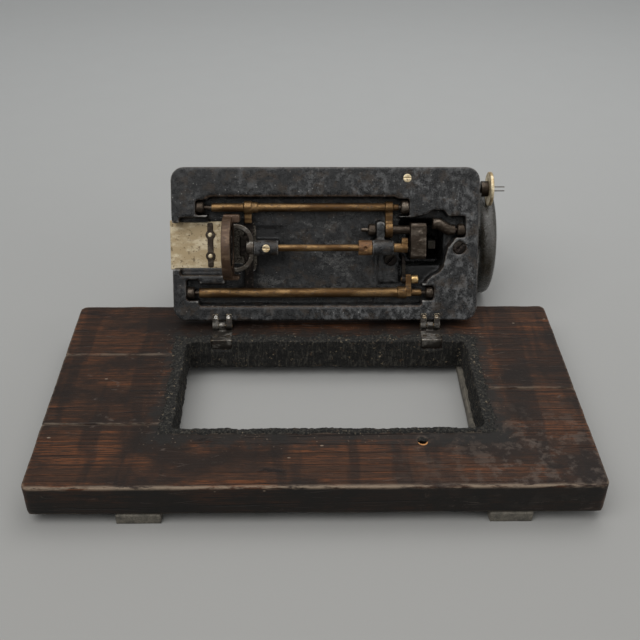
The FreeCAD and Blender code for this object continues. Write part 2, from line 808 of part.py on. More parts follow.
def shuttle():
    """Round shuttle with a pointed beak, a latch bar and room for its bobbin."""
    x0, x1 = race_left + 0.6, race_left + 0.6 + shuttle_width
    radius = race_inner_radius - shuttle_play
    drum = rod_x(x0, x1, centre_y, shuttle_z, radius)
    room = rod_x(x0 + 2.5, x1 + 1, centre_y, shuttle_z, bobbin_radius + 0.6)
    notch = box(x0 - 1, x1 + 1, centre_y + 6, centre_y + radius + 1,
                shuttle_z + 8, shuttle_z + radius + 1)
    rim_cut = rod_x(x1 - 3, x1 + 1, centre_y, shuttle_z, radius + 1).cut(
        rod_x(x1 - 3, x1 + 1, centre_y, shuttle_z, radius - 5))
    drum = drum.cut([room, notch, rim_cut])
    latch = box(x1 - 0.5, x1 + 1.8, centre_y - 14.5, centre_y + 14.5,
                shuttle_z - 11.0, shuttle_z - 6.0)
    post = rod_x(x0 + 1, x1 + 0.5, centre_y, shuttle_z, 3.0)
    return fused([drum, latch, post])


def bobbin():
    """Wound bobbin in the shuttle."""
    x0 = race_left + 0.6 + 2.5 + 0.2
    length = shuttle_width - 2.5 - 0.8
    outer = rod_x(x0, x0 + length, centre_y, shuttle_z, bobbin_radius)
    groove = rod_x(x0 + 1, x0 + length - 1, centre_y, shuttle_z, bobbin_radius + 1).cut(
        rod_x(x0 + 1, x0 + length - 1, centre_y, shuttle_z, bobbin_radius - 1.5))
    return outer.cut([groove, rod_x(x0 - 1, x0 + length + 1, centre_y, shuttle_z, 3.1)])


def shuttle_driver():
    """Bow on the shaft's end that reaches round to both sides of the shuttle."""
    low, high = shuttle_z - driver_height / 2, shuttle_z + driver_height / 2
    right, half = boss_x[0] - side_gap, driver_radius
    bow = rounded_plate(right - 2.5 * half, right, centre_y - half, centre_y + half,
                        low, high, driver_corner)
    bow = bow.cut(rounded_plate(right - 2.5 * half, right - driver_band,
                                centre_y - half + driver_band, centre_y + half - driver_band,
                                low - 1, high + 1, driver_corner - driver_band))
    tips = race_left + 0.6 + shuttle_width + 1.8 + 0.4
    bow = bow.common(box(tips, boss_x[0], centre_y - 40, centre_y + 40, low - 1, high + 1))
    hub = rod_x(boss_x[0] - 9.0, boss_x[0] - side_gap, centre_y, shuttle_z, 8.0)
    bore = rod_x(boss_x[0] - 20, boss_x[0] + 1, centre_y, shuttle_z,
                 shuttle_shaft_radius + fixed_fit)
    return fused([bow, hub]).cut(bore)


def shuttle_shaft():
    """Shaft of the shuttle driver with the crank at its right end."""
    x0 = crank_web_x()
    shaft = rod_x(boss_x[0] - 8.0, x0 + crank_width - 1, centre_y, shuttle_z,
                  shuttle_shaft_radius)
    hub = rod_x(bearing_right + side_gap, x0 + 1, centre_y, shuttle_z, shuttle_shaft_radius + 1.3)
    web = fused([rod_x(x0, x0 + crank_width, centre_y, shuttle_z, roller_radius + 1.6),
                 rod_x(x0, x0 + crank_width, centre_y - crank_throw, shuttle_z, roller_radius),
                 box(x0, x0 + crank_width, centre_y - crank_throw, centre_y,
                     shuttle_z - roller_radius, shuttle_z + roller_radius)])
    return fused([shaft, hub, web])


def crank_web_x():
    """Left side of the crank web on the shuttle shaft."""
    return bearing_right + side_gap + crank_hub_length


def shaft_collar():
    """Brass collar that keeps the shuttle shaft against its bearing."""
    x0, x1 = shaft_collar_x, shaft_collar_x + collar_length
    ring = rod_x(x0, x1, centre_y, shuttle_z, collar_radius)
    middle = (x0 + x1) / 2
    dimple = rod_z(middle, centre_y, shuttle_z - collar_radius - 1,
                   shuttle_z - collar_radius + 2, 2.0)
    return ring.cut([rod_x(x0 - 1, x1 + 1, centre_y, shuttle_z,
                           shuttle_shaft_radius + fixed_fit), dimple])


def taper_screw_shape(ease):
    """Body of the oiling screw in the left boss, with ease for its hole."""
    x = (boss_x[0] + boss_x[1]) / 2
    low = shuttle_z - boss_radius
    return rod_z(x, centre_y, low - 1.2, low + 3.0, 4.6 + ease)


def taper_screw():
    """Slotted oiling screw in the left boss of the shuttle shaft."""
    head = taper_screw_shape(0)
    centre = head.BoundBox.Center
    return slotted_head(head, V(centre.x, centre.y, head.BoundBox.ZMin), 5, 1.4, 1.0, -1)


# Rocking shafts


def bored_ends(shape, ends, y, z):
    """Cut the centre holes that the pivot screws run in."""
    x0, x1 = ends
    deep = pivot_pin_length + 1.0
    return shape.cut([rod_x(x0 - 1, x0 + deep, y, z, pivot_pin_radius + running_fit),
                      rod_x(x1 - deep, x1 + 1, y, z, pivot_pin_radius + running_fit)])


def front_rocking_shaft():
    """Feed lifting shaft with its left arm, collar and right arm round the rock shaft."""
    x0, x1 = front_rod_x
    y, z = front_rod_y, rod_height
    right = rock_x[0] + side_gap
    shapes = [rod_x(x0, right + arm_width, y, z, front_rod_radius),
              rod_x(right, x1, y, z, rod_neck_radius)]
    left = race_left + 24.0
    shapes.append(rod_x(left, left + arm_width, y, z, front_rod_radius + 2.8))
    shapes.append(prism_x([(y - 5, z - 3.5), (y + 19, z - 1), (y + 19, z + 3), (y - 5, z + 4)],
                          left, left + arm_width))
    shapes.append(rod_x(left + arm_width, left + arm_width + 7, y, z, front_rod_radius + 1.3))
    eye_radius = rock_shaft_radius + 5.5
    shapes.append(rod_x(right, right + arm_width, y, z, front_rod_radius + 1.8))
    shapes.append(box(right, right + arm_width, y, rock_y - rock_shaft_radius - 3, z - 4, z + 4))
    eye = rod_x(right, right + arm_width, rock_y, rock_shaft_height, eye_radius - 1)
    body = fused(shapes + [eye])
    body = body.cut(rod_x(right - 1, right + arm_width + 1, rock_y, rock_shaft_height,
                          rock_shaft_radius + 2.0))
    mouth = box(right - 1, right + arm_width + 1, rock_y - eye_radius, rock_y + eye_radius,
                roof - fork_mouth, bed_height)
    return bored_ends(body.cut(mouth), front_rod_x, y, z)


def rear_rocking_shaft():
    """Feed shaft with a forked arm on the right and the feed crank on the left."""
    x0, x1 = rear_rod_x
    y, z = rear_rod_y, rod_height
    fork = fork_arm_x()
    shapes = [rod_x(x0, fork + 1, y, z, rear_rod_radius),
              rod_x(fork, x1, y, z, rear_rod_radius - 1.6)]
    shapes.append(rod_x(fork - 10.5, fork, y, z, rear_rod_radius + 1.4))
    shapes.append(prism_x([(y - 22.5, z - 3.6), (y - 22.5, z + 3.6), (y + 4.5, z + 6),
                           (y + 4.5, z - 6)], fork - 1.0, fork + 6.0))
    shapes.append(rod_x(fork - 6.5, fork + 14.5, y - fork_pin_reach, z, fork_pin_radius))
    crank = feed_crank_x()
    relief = rod_x(crank[0] - 0.4, crank[1] + 0.4, y, z + feed_crank_reach, 3.7)
    shapes = [fused(shapes).cut(relief)]
    for side in (crank[0] - 7.0, crank[1] + 0.4):
        shapes.append(box(side, side + 6.6, y - 3.2, y + 3.2, z, z + feed_crank_reach))
        shapes.append(rod_x(side, side + 6.6, y, z + feed_crank_reach, 3.2))
    shapes.append(rod_x(crank[0] - 1, crank[1] + 1, y, z + feed_crank_reach, 1.6))
    return bored_ends(fused(shapes), rear_rod_x, y, z)


def fork_arm_x():
    """Where the rear shaft's forked arm sits."""
    return pillar_hole[0] + 8.5


def feed_crank_x():
    """Where the feed bar sits along the rear rocking shaft."""
    return race_left + 23.0, race_left + 34.0


def fork_roller():
    """Brass roller on the pin of the rear shaft's forked arm."""
    x0 = fork_arm_x() + 6.0 + 0.3
    y = rear_rod_y - fork_pin_reach
    ring = rod_x(x0, x0 + 8.0, y, rod_height, 5.2)
    return ring.cut(rod_x(x0 - 1, x0 + 9, y, rod_height, fork_pin_radius + fixed_fit))


def feed_bar():
    """Bar that carries the feed teeth, hung on the rear shaft's crank."""
    x0, x1 = feed_crank_x()
    low, high = roof - 4.0, roof - 0.6
    y_end = front_rod_y + 14.0
    bar = box(x0, x1, y_end, rear_rod_y, low, high)
    eye = rod_x(x0, x1, rear_rod_y, rod_height + feed_crank_reach, 3.1)
    finger = box(feed_dog_x()[0], x1, centre_y - 12, centre_y + 12, low, high)
    hole = rod_x(x0 - 1, x1 + 1, rear_rod_y, rod_height + feed_crank_reach,
                 1.6 + running_fit)
    return fused([bar, eye, finger]).cut(hole)


def feed_dog_x():
    """Where the two rows of feed teeth begin and end."""
    return needle_x + 4.5, needle_x + 13.0


def feed_dog():
    """Two toothed rows on a foot plate under the needle plate."""
    x0, x1 = feed_dog_x()
    low = roof - 0.6
    shapes = [box(x0, x1, centre_y - 10, centre_y + 10, low + fixed_fit, plate_under - 0.5)]
    teeth = 8
    pitch = 2.2
    for row in (x0, x1 - 2.6):
        start = centre_y - teeth * pitch / 2
        shapes.append(box(row, row + 2.6, start, start + teeth * pitch, low + 0.3,
                          bed_height - 0.9))
        for i in range(teeth):
            y = start + i * pitch
            tooth = [(y, bed_height - 1.2), (y + pitch * 0.9, bed_height - 1.2),
                     (y + pitch * 0.9, bed_height + 0.1)]
            shapes.append(prism_x(tooth, row, row + 2.6))
    return fused(shapes)


def rock_shaft():
    """Oscillating shaft with its fork block and the arched crank beside it."""
    x0, x1 = rock_x
    y, z = rock_y, rock_shaft_height
    fork = fork_x()
    arch_left, arch_right = fork + fork_width, x1 - arch_radius - side_gap
    shapes = [rod_x(x0, fork + 1, y, z, rock_shaft_radius),
              rod_x(arch_right - 1, x1, y, z, rock_shaft_radius + 1.0)]
    block = [(y - 8.5, z - 10), (y - 8.5, z + 5), (y + 8, z + 6.5), (y + fork_reach - 4, z + 4),
             (y + fork_reach, z - 1), (y + fork_reach, z - 10), (y + fork_reach - 3, z - 13),
             (y - 5.5, z - 13)]
    shapes.append(prism_x(block, fork, arch_left))
    run = arch_right - arch_left
    knees = [V(arch_left - 4, y, z), V(arch_left + run * 0.08, y - arch_bulge * 0.4, z),
             V(arch_left + run * 0.3, y - arch_bulge, z),
             V(arch_left + run * 0.55, y - arch_bulge, z),
             V(arch_left + run * 0.85, y - arch_bulge * 0.3, z), V(arch_right, y, z)]
    for start, end in zip(knees, knees[1:]):
        shapes.append(bar_between(start, end, arch_radius))
        shapes.append(Part.makeSphere(arch_radius, end))
    rivet_x = fork + fork_width * 0.62
    for ahead in (3.0, 14.0):
        shapes.append(rod_z(rivet_x, y + ahead, z - 13.6, z, 2.0))
    return bored_ends(fused(shapes), rock_x, y, z)


def feed_connection():
    """Cranked flat rod from the rear shaft's fork up the pillar, open at its top."""
    x1 = fork_arm_x() - 1.0 - 0.3
    x0 = x1 - connection_width
    y, z = rear_rod_y - fork_pin_reach, rod_height
    inner = centre_y + pillar_cavity_depth / 2 - 9.0
    eye = rod_x(x0, x1, y, z, 5.0)
    bar = prism_x([(y, z - 4), (inner + 4, z - 4), (inner - 3, z + 3),
                   (inner - 4, connection_top), (inner + 1, connection_top),
                   (inner + 3, z + 7), (y, z + 3.5)], x0, x1)
    return fused([eye, bar]).cut(rod_x(x0 - 1, x1 + 1, y, z,
                                     fork_pin_radius + running_fit))


# Plates over the shuttle


def slide_plate():
    """Sliding cover over the shuttle, in the bed's bevelled way."""
    plate = prism_x(plate_profile(0), left_end - slide_plate_overhang,
                    left_end + slide_plate_length)
    holes = [rod_z(x, y, plate_under - 1, plate_under + 1.8, 1.5 + fixed_fit)
             for x, y in strip_screws_at()]
    return plate.cut(holes)


def strip_screws_at():
    """Centres of the two screws of the spring strip."""
    x = left_end + slide_plate_length - 15.5
    return [(x, centre_y - 13.5), (x, centre_y + 12.5)]


def spring_strip():
    """Lobed spring strip under the slide plate."""
    x = strip_screws_at()[0][0]
    half = spring_strip_width / 2
    z0, z1 = plate_under - spring_strip_thickness, plate_under - fixed_fit
    strip = [rounded_plate(x - half + 1.0, x + half - 1.0, plate_front + 2.4, plate_rear - 2.4,
                           z0, z1, 2)]
    strip += [rod_z(sx, sy, z0, z1, half + 1.4) for sx, sy in strip_screws_at()]
    return fused(strip).cut([rod_z(sx, sy, z0 - 1, z1 + 1, 1.5 + fixed_fit)
                             for sx, sy in strip_screws_at()])


def strip_screws():
    """Domed bright screws of the spring strip."""
    shapes = []
    for x, y in strip_screws_at():
        z = plate_under - spring_strip_thickness - fixed_fit
        head = rod_z(x, y, z - 1.5, z, 2.8)
        head = head.makeFillet(1.2, [min(head.Edges, key=lambda e: e.CenterOfMass.z)])
        shapes.append(fused([head, rod_z(x, y, z - 0.5, plate_under + 1.7, 1.5)]))
    return Part.makeCompound(shapes)


def needle_plate():
    """Plate with the needle hole and the slots for the feed teeth."""
    x0, x1 = needle_plate_x()
    plate = prism_x(plate_profile(0), x0, x1)
    d0, d1 = feed_dog_x()
    half = 8 * 2.2 / 2 + 2.6
    cuts = [box(row - 0.5, row + 3.1, centre_y - half, centre_y + half, plate_under - 1,
                bed_height + 1) for row in (d0, d1 - 2.6)]
    cuts.append(rod_z(needle_x, centre_y, plate_under - 1, bed_height + 1, needle_radius + 0.5))
    for x, y in plate_screws_at():
        cuts.append(rod_z(x, y, plate_under - 1, bed_height + 1, plate_screw_radius + fixed_fit))
        cuts.append(rod_z(x, y, bed_height - 1.3, bed_height + 1, 2.9 + fixed_fit))
    return plate.cut(cuts)


def plate_screws_at():
    """Centres of the two needle plate screws."""
    x = needle_plate_x()[1] - 6.0
    return [(x, plate_front + 4.0), (x, plate_rear - 4.0)]


def needle_plate_screws():
    """Two countersunk screws of the needle plate."""
    shapes = []
    for x, y in plate_screws_at():
        head = rod_z(x, y, bed_height - 1.25, bed_height - 0.05, 2.9)
        shank = rod_z(x, y, plate_under - 2.0, bed_height - 1, plate_screw_radius)
        shapes.append(slotted_head(fused([head, shank]), V(x, y, bed_height - 0.05),
                                   3.0, 0.8, 0.6, 1))
    return shapes


# Arm, pillar and head

head_x = (left_end + 35.0, left_end + 35.0 + head_length)
head_z = (bed_height + head_above_bed, shaft_height + head_above_shaft)
head_y = (centre_y - head_depth / 2, centre_y + head_depth / 2)
arm_top = shaft_height + arm_height / 2
presser_y = centre_y + presser_behind
pillar_front = centre_y - 28.0
eccentric_x = (pillar_x + 8.0, pillar_x + 18.0)
eccentric_throw = 4.0
eccentric_radius = eccentric_throw + arm_shaft_radius + 1.0
strap_radius = eccentric_radius + 2.6
pillar_room = eccentric_throw + strap_radius + 1.1
crank_x = (head_x[1] - 12.0, head_x[1] - 6.5)
crank_reach = needle_stroke / 2
take_up_x = (needle_x - 11.0, needle_x - 8.0)
take_up_y = centre_y + 6.0
take_up_z = shaft_height - 13.0
tension_x = head_x[1] - 14.0
tension_z = head_z[0] + 35.0
regulator_z = bed_height + 46.0
regulator_travel = 16.0


def head_outline(x0, x1, shrink):
    """The head's rounded outline across X, drawn in by a wall."""
    shape = box(x0, x1, head_y[0] + shrink, head_y[1] - shrink, head_z[0] + shrink,
                head_z[1] - shrink)
    corner = max(13.0 - shrink, 2.0)
    return round_edges(shape, corner, along_x)


def arm_body():
    """Outer shape of the arm, from the head over to the pillar's foot."""
    depth, height = arm_depth / 2, arm_height / 2
    x_mid = (head_x[1] + pillar_x) / 2
    sections = [(head_x[1] - 8, 0.92, 0.94), (x_mid, 0.84, 0.86), (pillar_x - 20, 0.98, 1.0),
                (right_end - 4, 0.9, 0.98)]
    wires = [section_x(x, centre_y - depth * wide, centre_y + depth * wide,
                       shaft_height - height * tall, shaft_height + height * tall, 17.0)
             for x, wide, tall in sections]
    arm = Part.makeLoft(wires, True, False)
    levels = [(bed_height, 0, 42.0, 20.0), (bed_height + 11, 14, 33.0, 16.0),
              (bed_height + 42, 20, 28.0, 16.0), (shaft_height - 18, 18, 24.0, 16.0),
              (shaft_height + 6, 14, 22.0, 16.0)]
    wires = [section_z(foot[0] + inset, foot[1] - inset * 0.6, centre_y - half, centre_y + half,
                       z, corner) for z, inset, half, corner in levels]
    pillar = Part.makeLoft(wires, True, False)
    rim = rounded_plate(foot[0] - 3, foot[1] + 3, foot[2] - 3, foot[3] + 3,
                        bed_height, bed_height + 4, 22.0)
    bearing = rod_x(right_end - 12, right_end + 1, centre_y, shaft_height, 19.0)
    return fused([arm, pillar, rim, head_outline(head_x[0], head_x[1], 0), bearing])


def arm_casting():
    """Hollow arm, pillar and head in one casting."""
    x0, x1 = pillar_hole
    y0, y1 = pillar_hole_y
    half = pillar_cavity_depth / 2
    lower = Part.makeLoft([section_z(x0, x1, y0, y1, bed_height - 1, 6.0),
                           section_z(x0, x1, centre_y - half, centre_y + half,
                                     bed_height + 32, 6.0)], True, False)
    upper = box(x0 + 14, x1 - 2, centre_y - pillar_room, centre_y + pillar_room,
                bed_height + 30, shaft_height + pillar_room)
    chamber = rod_x(head_x[1] + 14, x1 - 1, centre_y, shaft_height, 13.0)
    bore = rod_x(head_x[0], right_end + 5, centre_y, shaft_height,
                 arm_shaft_radius + running_fit)
    cavity = head_outline(head_x[0] - 1, head_x[1] - head_wall, head_wall)
    cuts = [lower, upper, chamber, bore, cavity]
    for y in (centre_y, presser_y):
        cuts.append(rod_z(needle_x, y, head_z[0] - 1, head_z[1] + 1, bar_radius + running_fit))
    slot_low, slot_high = take_up_z - 4.0, take_up_z + 42.0
    cuts.append(box(take_up_x[0] - 1.5, take_up_x[1] + 1.5, head_y[0] - 1,
                    head_y[0] + head_wall + 3, slot_low, slot_high))
    cuts += [rod_z(x, y, bed_height - 1, bed_height + arm_bolt_bite,
                   arm_bolt_shank + fixed_fit) for x, y in arm_bolts_at]
    cuts += [rod_x(head_x[0] - 1, head_x[0] + 7, y, z, 1.6 + fixed_fit)
             for y, z in face_screws_at()]
    cuts.append(rod_y(tension_x, head_y[0] - 1, head_y[0] + head_wall - 1, tension_z,
                      2.6 + fixed_fit))
    cuts.append(rod_z(spool_pin_x, centre_y, arm_top - 12, arm_top + 5, 2.4 + fixed_fit))
    cuts.append(rod_y(needle_x, head_y[1] - 4.5, head_y[1] + 1, lifter_z, 2.6 + fixed_fit))
    cuts.append(box(regulator_x() - 3.4, regulator_x() + 3.4, pillar_front - 12, centre_y - 10,
                    regulator_z - 3.4, regulator_z + regulator_travel + 3.4))
    cuts += winder_pin_holes()
    cuts += [rod_y(x, y - 1, y + 5, z, 1.3 + fixed_fit) for x, y, z in thread_guides_at()]
    return arm_body().cut(cuts)


spool_pin_x = pillar_x - 60.0
lifter_z = head_z[0] + 40.0


def regulator_x():
    """Where the stitch regulator's slot is."""
    return (pillar_hole[0] + 14 + pillar_hole[1] - 2) / 2 - 3


def face_plate():
    """Plate that closes the head's end and carries the take-up's pin."""
    plate = head_outline(head_x[0] - face_plate_thickness, head_x[0] - fixed_fit, 0)
    holes = [rod_x(head_x[0] - 10, head_x[0] + 1, y, z, 1.6 + fixed_fit)
             for y, z in face_screws_at()]
    boss = rod_x(head_x[0] - 1, take_up_x[0] - side_gap, take_up_y, take_up_z, 5.0)
    pin = rod_x(head_x[0] - 10, take_up_x[1] + 5, take_up_y, take_up_z, 3.0 + fixed_fit)
    return fused([plate, boss]).cut(holes + [pin])


def face_screws_at():
    """Centres of the face plate screws, as (y, z)."""
    inset = head_wall / 2
    return [(centre_y, head_z[1] - inset), (centre_y + 9, head_z[0] + inset)]


def face_plate_screws():
    """Two slotted screws of the face plate."""
    shapes = []
    outer = head_x[0] - face_plate_thickness
    for y, z in face_screws_at():
        head = rod_x(outer - 1.8, outer - fixed_fit, y, z, 2.9)
        slot = box(outer - 2.5, outer - 1.1, y - 0.45, y + 0.45, z - 4, z + 4)
        shapes.append(fused([head, rod_x(outer - 1, head_x[0] + 6, y, z, 1.6)]).cut(slot))
    return shapes


def take_up_pin():
    """Pin that the take-up lever swings on."""
    outer = head_x[0] - face_plate_thickness
    head = rod_x(outer - 1.6, outer - fixed_fit, take_up_y, take_up_z, 5.0)
    return fused([head, rod_x(outer - 1, take_up_x[1] + 1.5, take_up_y, take_up_z, 3.0)])


def take_up_lever():
    """Lever that comes out of the head's front slot, with an eye at its tip."""
    x0, x1 = take_up_x
    tip_y, tip_z = take_up_y - take_up_reach, take_up_z + take_up_rise
    run = math.hypot(tip_y - take_up_y, tip_z - take_up_z)
    ny, nz = (tip_z - take_up_z) / run * 2.6, -(tip_y - take_up_y) / run * 2.6
    arm = prism_x([(take_up_y - ny, take_up_z - nz), (tip_y - ny, tip_z - nz),
                   (tip_y + ny, tip_z + nz), (take_up_y + ny, take_up_z + nz)], x0, x1)
    lever = fused([arm, rod_x(x0, x1, take_up_y, take_up_z, 6.5),
                   rod_x(x0, x1, tip_y, tip_z, 4.4)])
    return lever.cut([rod_x(x0 - 1, x1 + 1, take_up_y, take_up_z, 3.0 + running_fit),
                      rod_x(x0 - 1, x1 + 1, tip_y, tip_z, 1.7)])


def needle_bar():
    """Round bar with the collar that its link drives."""
    bottom = bed_height + needle_stroke + 8.0
    top = head_z[1] + needle_stroke + 6.0
    bar = rod_z(needle_x, centre_y, bottom, top, bar_radius)
    middle = shaft_height + crank_reach - 30.0
    collar = rod_z(needle_x, centre_y, middle - 5, middle + 5, 5.8)
    hole = rod_z(needle_x, centre_y, bottom - 1, bottom + 9, needle_radius + fixed_fit)
    return fused([bar, collar]).cut(hole)


def needle_clamp():
    """Collar and thumb screw that hold the needle."""
    z = bed_height + needle_stroke + 10.0
    ring = rod_z(needle_x, centre_y, z, z + 8, 5.6)
    screw = rod_x(needle_x - 13, needle_x - 4, centre_y, z + 4, 1.8)
    knob = rod_x(needle_x - 14, needle_x - 9.5, centre_y, z + 4, 4.0)
    bore = rod_z(needle_x, centre_y, z - 1, z + 9, bar_radius + fixed_fit)
    return fused([ring, screw, knob]).cut(bore)


def needle():
    """Needle with its point above the plate."""
    tip = bed_height + 9.0
    bottom = bed_height + needle_stroke + 8.0
    blade = rod_z(needle_x, centre_y, tip + 4, bottom + 8.5, needle_radius)
    point = Part.makeCone(0.15, needle_radius, 4.0, V(needle_x, centre_y, tip))
    return fused([blade, point])


def presser_bar():
    """Round bar of the presser foot."""
    return rod_z(needle_x, presser_y, bed_height + 14.0, head_z[1] + 14.0, bar_radius)


def presser_foot():
    """Hinged-looking foot with two toes and its clamp on the bar."""
    z = bed_height + foot_rest_gap
    sole = rounded_plate(needle_x - 6.5, needle_x + 6.5, centre_y - 15, presser_y - 2,
                         z, z + 2.0, 2.0)
    slot = box(needle_x - 1.6, needle_x + 1.6, centre_y - 16, centre_y + 3, z - 1, z + 3)
    neck = box(needle_x - 4, needle_x + 4, presser_y - 6, presser_y + 3, z + 0.5, z + 14.5)
    ring = rod_z(needle_x, presser_y, z + 13.5, z + 22.0, 5.4)
    foot = fused([sole.cut(slot), neck, ring])
    bore = rod_z(needle_x, presser_y, bed_height + 14.0 - fixed_fit, z + 30,
                 bar_radius + fixed_fit)
    return foot.cut([bore, rod_x(needle_x - 8, needle_x - 3, presser_y, z + 18, 1.8 + fixed_fit)])


def foot_screw():
    """Thumb screw that holds the presser foot."""
    z = bed_height + foot_rest_gap + 18
    shank = rod_x(needle_x - 8, needle_x - bar_radius - fixed_fit, presser_y, z, 1.8)
    return fused([shank, rod_x(needle_x - 11, needle_x - 6.2, presser_y, z, 4.2)])


def lifter_lever():
    """Lever on the back of the head that raises the presser bar."""
    y0, y1 = head_y[1] + side_gap, head_y[1] + side_gap + 3.5
    hub = rod_y(needle_x, y0, y1, lifter_z, 7.0)
    blade = box(needle_x - 4, needle_x + 4, y0, y1, lifter_z - 34, lifter_z)
    tip = rod_y(needle_x, y0, y1 + 3.0, lifter_z - 34, 5.5)
    return fused([hub, blade, tip]).cut(rod_y(needle_x, y0 - 1, y1 + 1, lifter_z,
                                              2.6 + running_fit))


def lifter_screw():
    """Shouldered screw that the lifter turns on."""
    y = head_y[1] + side_gap + 3.5 + side_gap
    head = rod_y(needle_x, y, y + 2.0, lifter_z, 5.0)
    slot = box(needle_x - 6, needle_x + 6, y + 1.2, y + 3, lifter_z - 0.6, lifter_z + 0.6)
    return fused([head, rod_y(needle_x, head_y[1] - 4.3, y + 1, lifter_z, 2.6)]).cut(slot)


def tension_post():
    """Post of the thread tension on the head's front."""
    return rod_y(tension_x, head_y[0] - 26, head_y[0] + head_wall - 1.5, tension_z, 2.6)


def tension_discs():
    """Two saucer discs and their spring cone on the tension post."""
    y = head_y[0] - 1.0
    bore = rod_y(tension_x, y - 40, y + 5, tension_z, 2.6 + fixed_fit)
    shapes = []
    for near, far in ((y - 0.2, y - 2.8), (y - 5.6, y - 3.0)):
        cone = Part.makeCone(12.0, 7.0, abs(near - far), V(tension_x, far, tension_z),
                             V(0, 1 if near > far else -1, 0))
        shapes.append(cone)
    return [shape.cut(bore) for shape in shapes]


def tension_spring():
    """Beehive spring that presses the discs together, as its outer form."""
    y = head_y[0] - 6.8
    cone = Part.makeCone(7.5, 5.0, 9.0, V(tension_x, y, tension_z), V(0, -1, 0))
    return cone.cut(rod_y(tension_x, y - 12, y + 1, tension_z, 3.4))


def tension_nut():
    """Knurled thumb nut of the tension."""
    y = head_y[0] - 16.2
    nut = rod_y(tension_x, y - 7, y, tension_z, 6.5)
    flutes = []
    for i in range(14):
        angle = 2 * math.pi * i / 14
        flutes.append(rod_y(tension_x + 6.9 * math.cos(angle), y - 8, y + 1,
                            tension_z + 6.9 * math.sin(angle), 0.8))
    return nut.cut(flutes + [rod_y(tension_x, y - 8, y + 1, tension_z, 2.6 + running_fit)])


def spool_pin():
    """Wire pin for the spool on top of the arm."""
    top = arm_top
    flange = rod_z(spool_pin_x, centre_y, top - 1.2, top + 2.5, 7.0)
    return fused([flange, rod_z(spool_pin_x, centre_y, top - 11.5, top + 44.0, 2.4)])


def thread_guides_at():
    """Roots of the small thread guides on the arm's front, as (x, y, z)."""
    return [(head_x[0] + 12.0, head_y[0], head_z[0] + 14.0),
            (head_x[1] - 26.0, head_y[0], head_z[1] - 24.0)]


def thread_guides():
    """Small guide posts with a flat eye."""
    shapes = []
    for x, y, z in thread_guides_at():
        stem = rod_y(x, y - 6.5, y + 4.5, z, 1.3)
        eye = rod_y(x, y - 8.0, y - 6.0, z, 3.6).cut(rod_y(x, y - 9, y - 5, z + 1.4, 1.0))
        shapes.append(fused([stem, eye]))
    return Part.makeCompound(shapes)


def stitch_regulator():
    """Thumb screw that slides in the slot on the pillar's front."""
    x = regulator_x()
    front = pillar_front - 3.5
    stem = rod_y(x, front - 4, centre_y - 14, regulator_z, 3.0)
    knob = rod_y(x, front - 11, front - 3, regulator_z, 8.5)
    knob = knob.makeFillet(1.5, [min(knob.Edges, key=lambda e: e.CenterOfMass.y)])
    return fused([stem, knob])


# Arm shaft, handwheel and clutch


def arm_shaft():
    """Main shaft with the needle crank at the left and an eccentric over the pillar."""
    shaft = rod_x(crank_x[0] + 1, shaft_end(), centre_y, shaft_height, arm_shaft_radius)
    disc = rod_x(crank_x[0], crank_x[1], centre_y, shaft_height, crank_reach + 3.5)
    pin = rod_x(crank_x[0] - 6.9, crank_x[0] + 1, centre_y, shaft_height + crank_reach, 2.6)
    cam = rod_x(eccentric_x[0], eccentric_x[1], centre_y, shaft_height + eccentric_throw,
                eccentric_radius)
    return fused([shaft, disc, pin, cam])


def needle_link():
    """Link from the needle crank down to the needle bar's collar."""
    x0, x1 = crank_x[0] - 6.5, crank_x[0] - side_gap
    top, low = shaft_height + crank_reach, shaft_height + crank_reach - 30.0
    eyes = [rod_x(x0, x1, centre_y, z, 4.4) for z in (top, low)]
    bar = box(x0, x1, centre_y - 3, centre_y + 3, low, top)
    return fused(eyes + [bar]).cut(
        [rod_x(x0 - 1, x1 + 1, centre_y, top, 2.6 + running_fit),
         rod_x(x0 - 1, x1 + 1, centre_y, low, 2.2)])


def pillar_rod():
    """Connecting rod that hangs from the eccentric down the pillar."""
    x0, x1 = eccentric_x[0] + 0.6, eccentric_x[1] - 0.6
    z = shaft_height + eccentric_throw
    strap = rod_x(x0, x1, centre_y, z, strap_radius)
    bar = box(x0, x1, centre_y - 5, centre_y + 5, bed_height + 14.0, z)
    return fused([strap, bar]).cut(rod_x(x0 - 1, x1 + 1, centre_y, z,
                                         eccentric_radius + running_fit))


def wheel_x():
    """Inner and outer faces of the handwheel's rim."""
    outer = right_end + wheel_outer_reach
    return outer - wheel_rim_width, outer


def hub_end():
    """Outer face of the handwheel's hub, set in from the rim."""
    return wheel_x()[1] - hub_recess


def handwheel():
    """Spoked wheel with a thick rounded rim."""
    x0, x1 = wheel_x()
    rim = rod_x(x0, x1, 0, 0, wheel_radius).cut(
        rod_x(x0 - 1, x1 + 1, 0, 0, wheel_radius - wheel_rim_depth))
    round_size = 0.47 * min(wheel_rim_width, wheel_rim_depth)
    circles = [e for e in rim.Edges if e.Closed]
    rim = rim.makeFillet(round_size, [e for e in circles if e.BoundBox.XLength < 0.01])
    hub = rod_x(right_end + 1 + side_gap, hub_end(), 0, 0, hub_radius)
    shapes = [rim, hub]
    root, middle = (right_end + 1 + side_gap + hub_end()) / 2, (x0 + x1) / 2
    reach = wheel_radius - wheel_rim_depth / 2
    for i in range(spoke_count):
        angle = 2 * math.pi * (i + 0.5) / spoke_count
        out = V(middle - root, reach * math.cos(angle), reach * math.sin(angle))
        shapes.append(Part.makeCone(6.5, 5.0, out.Length, V(root, 0, 0), out))
    wheel = fused(shapes).cut(rod_x(right_end, x1 + 5, 0, 0, arm_shaft_radius + fixed_fit))
    wheel.translate(V(0, centre_y, shaft_height))
    return wheel


def shaft_end():
    """Right end of the main shaft, inside the clutch knob."""
    return hub_end() + clutch_length * 0.6


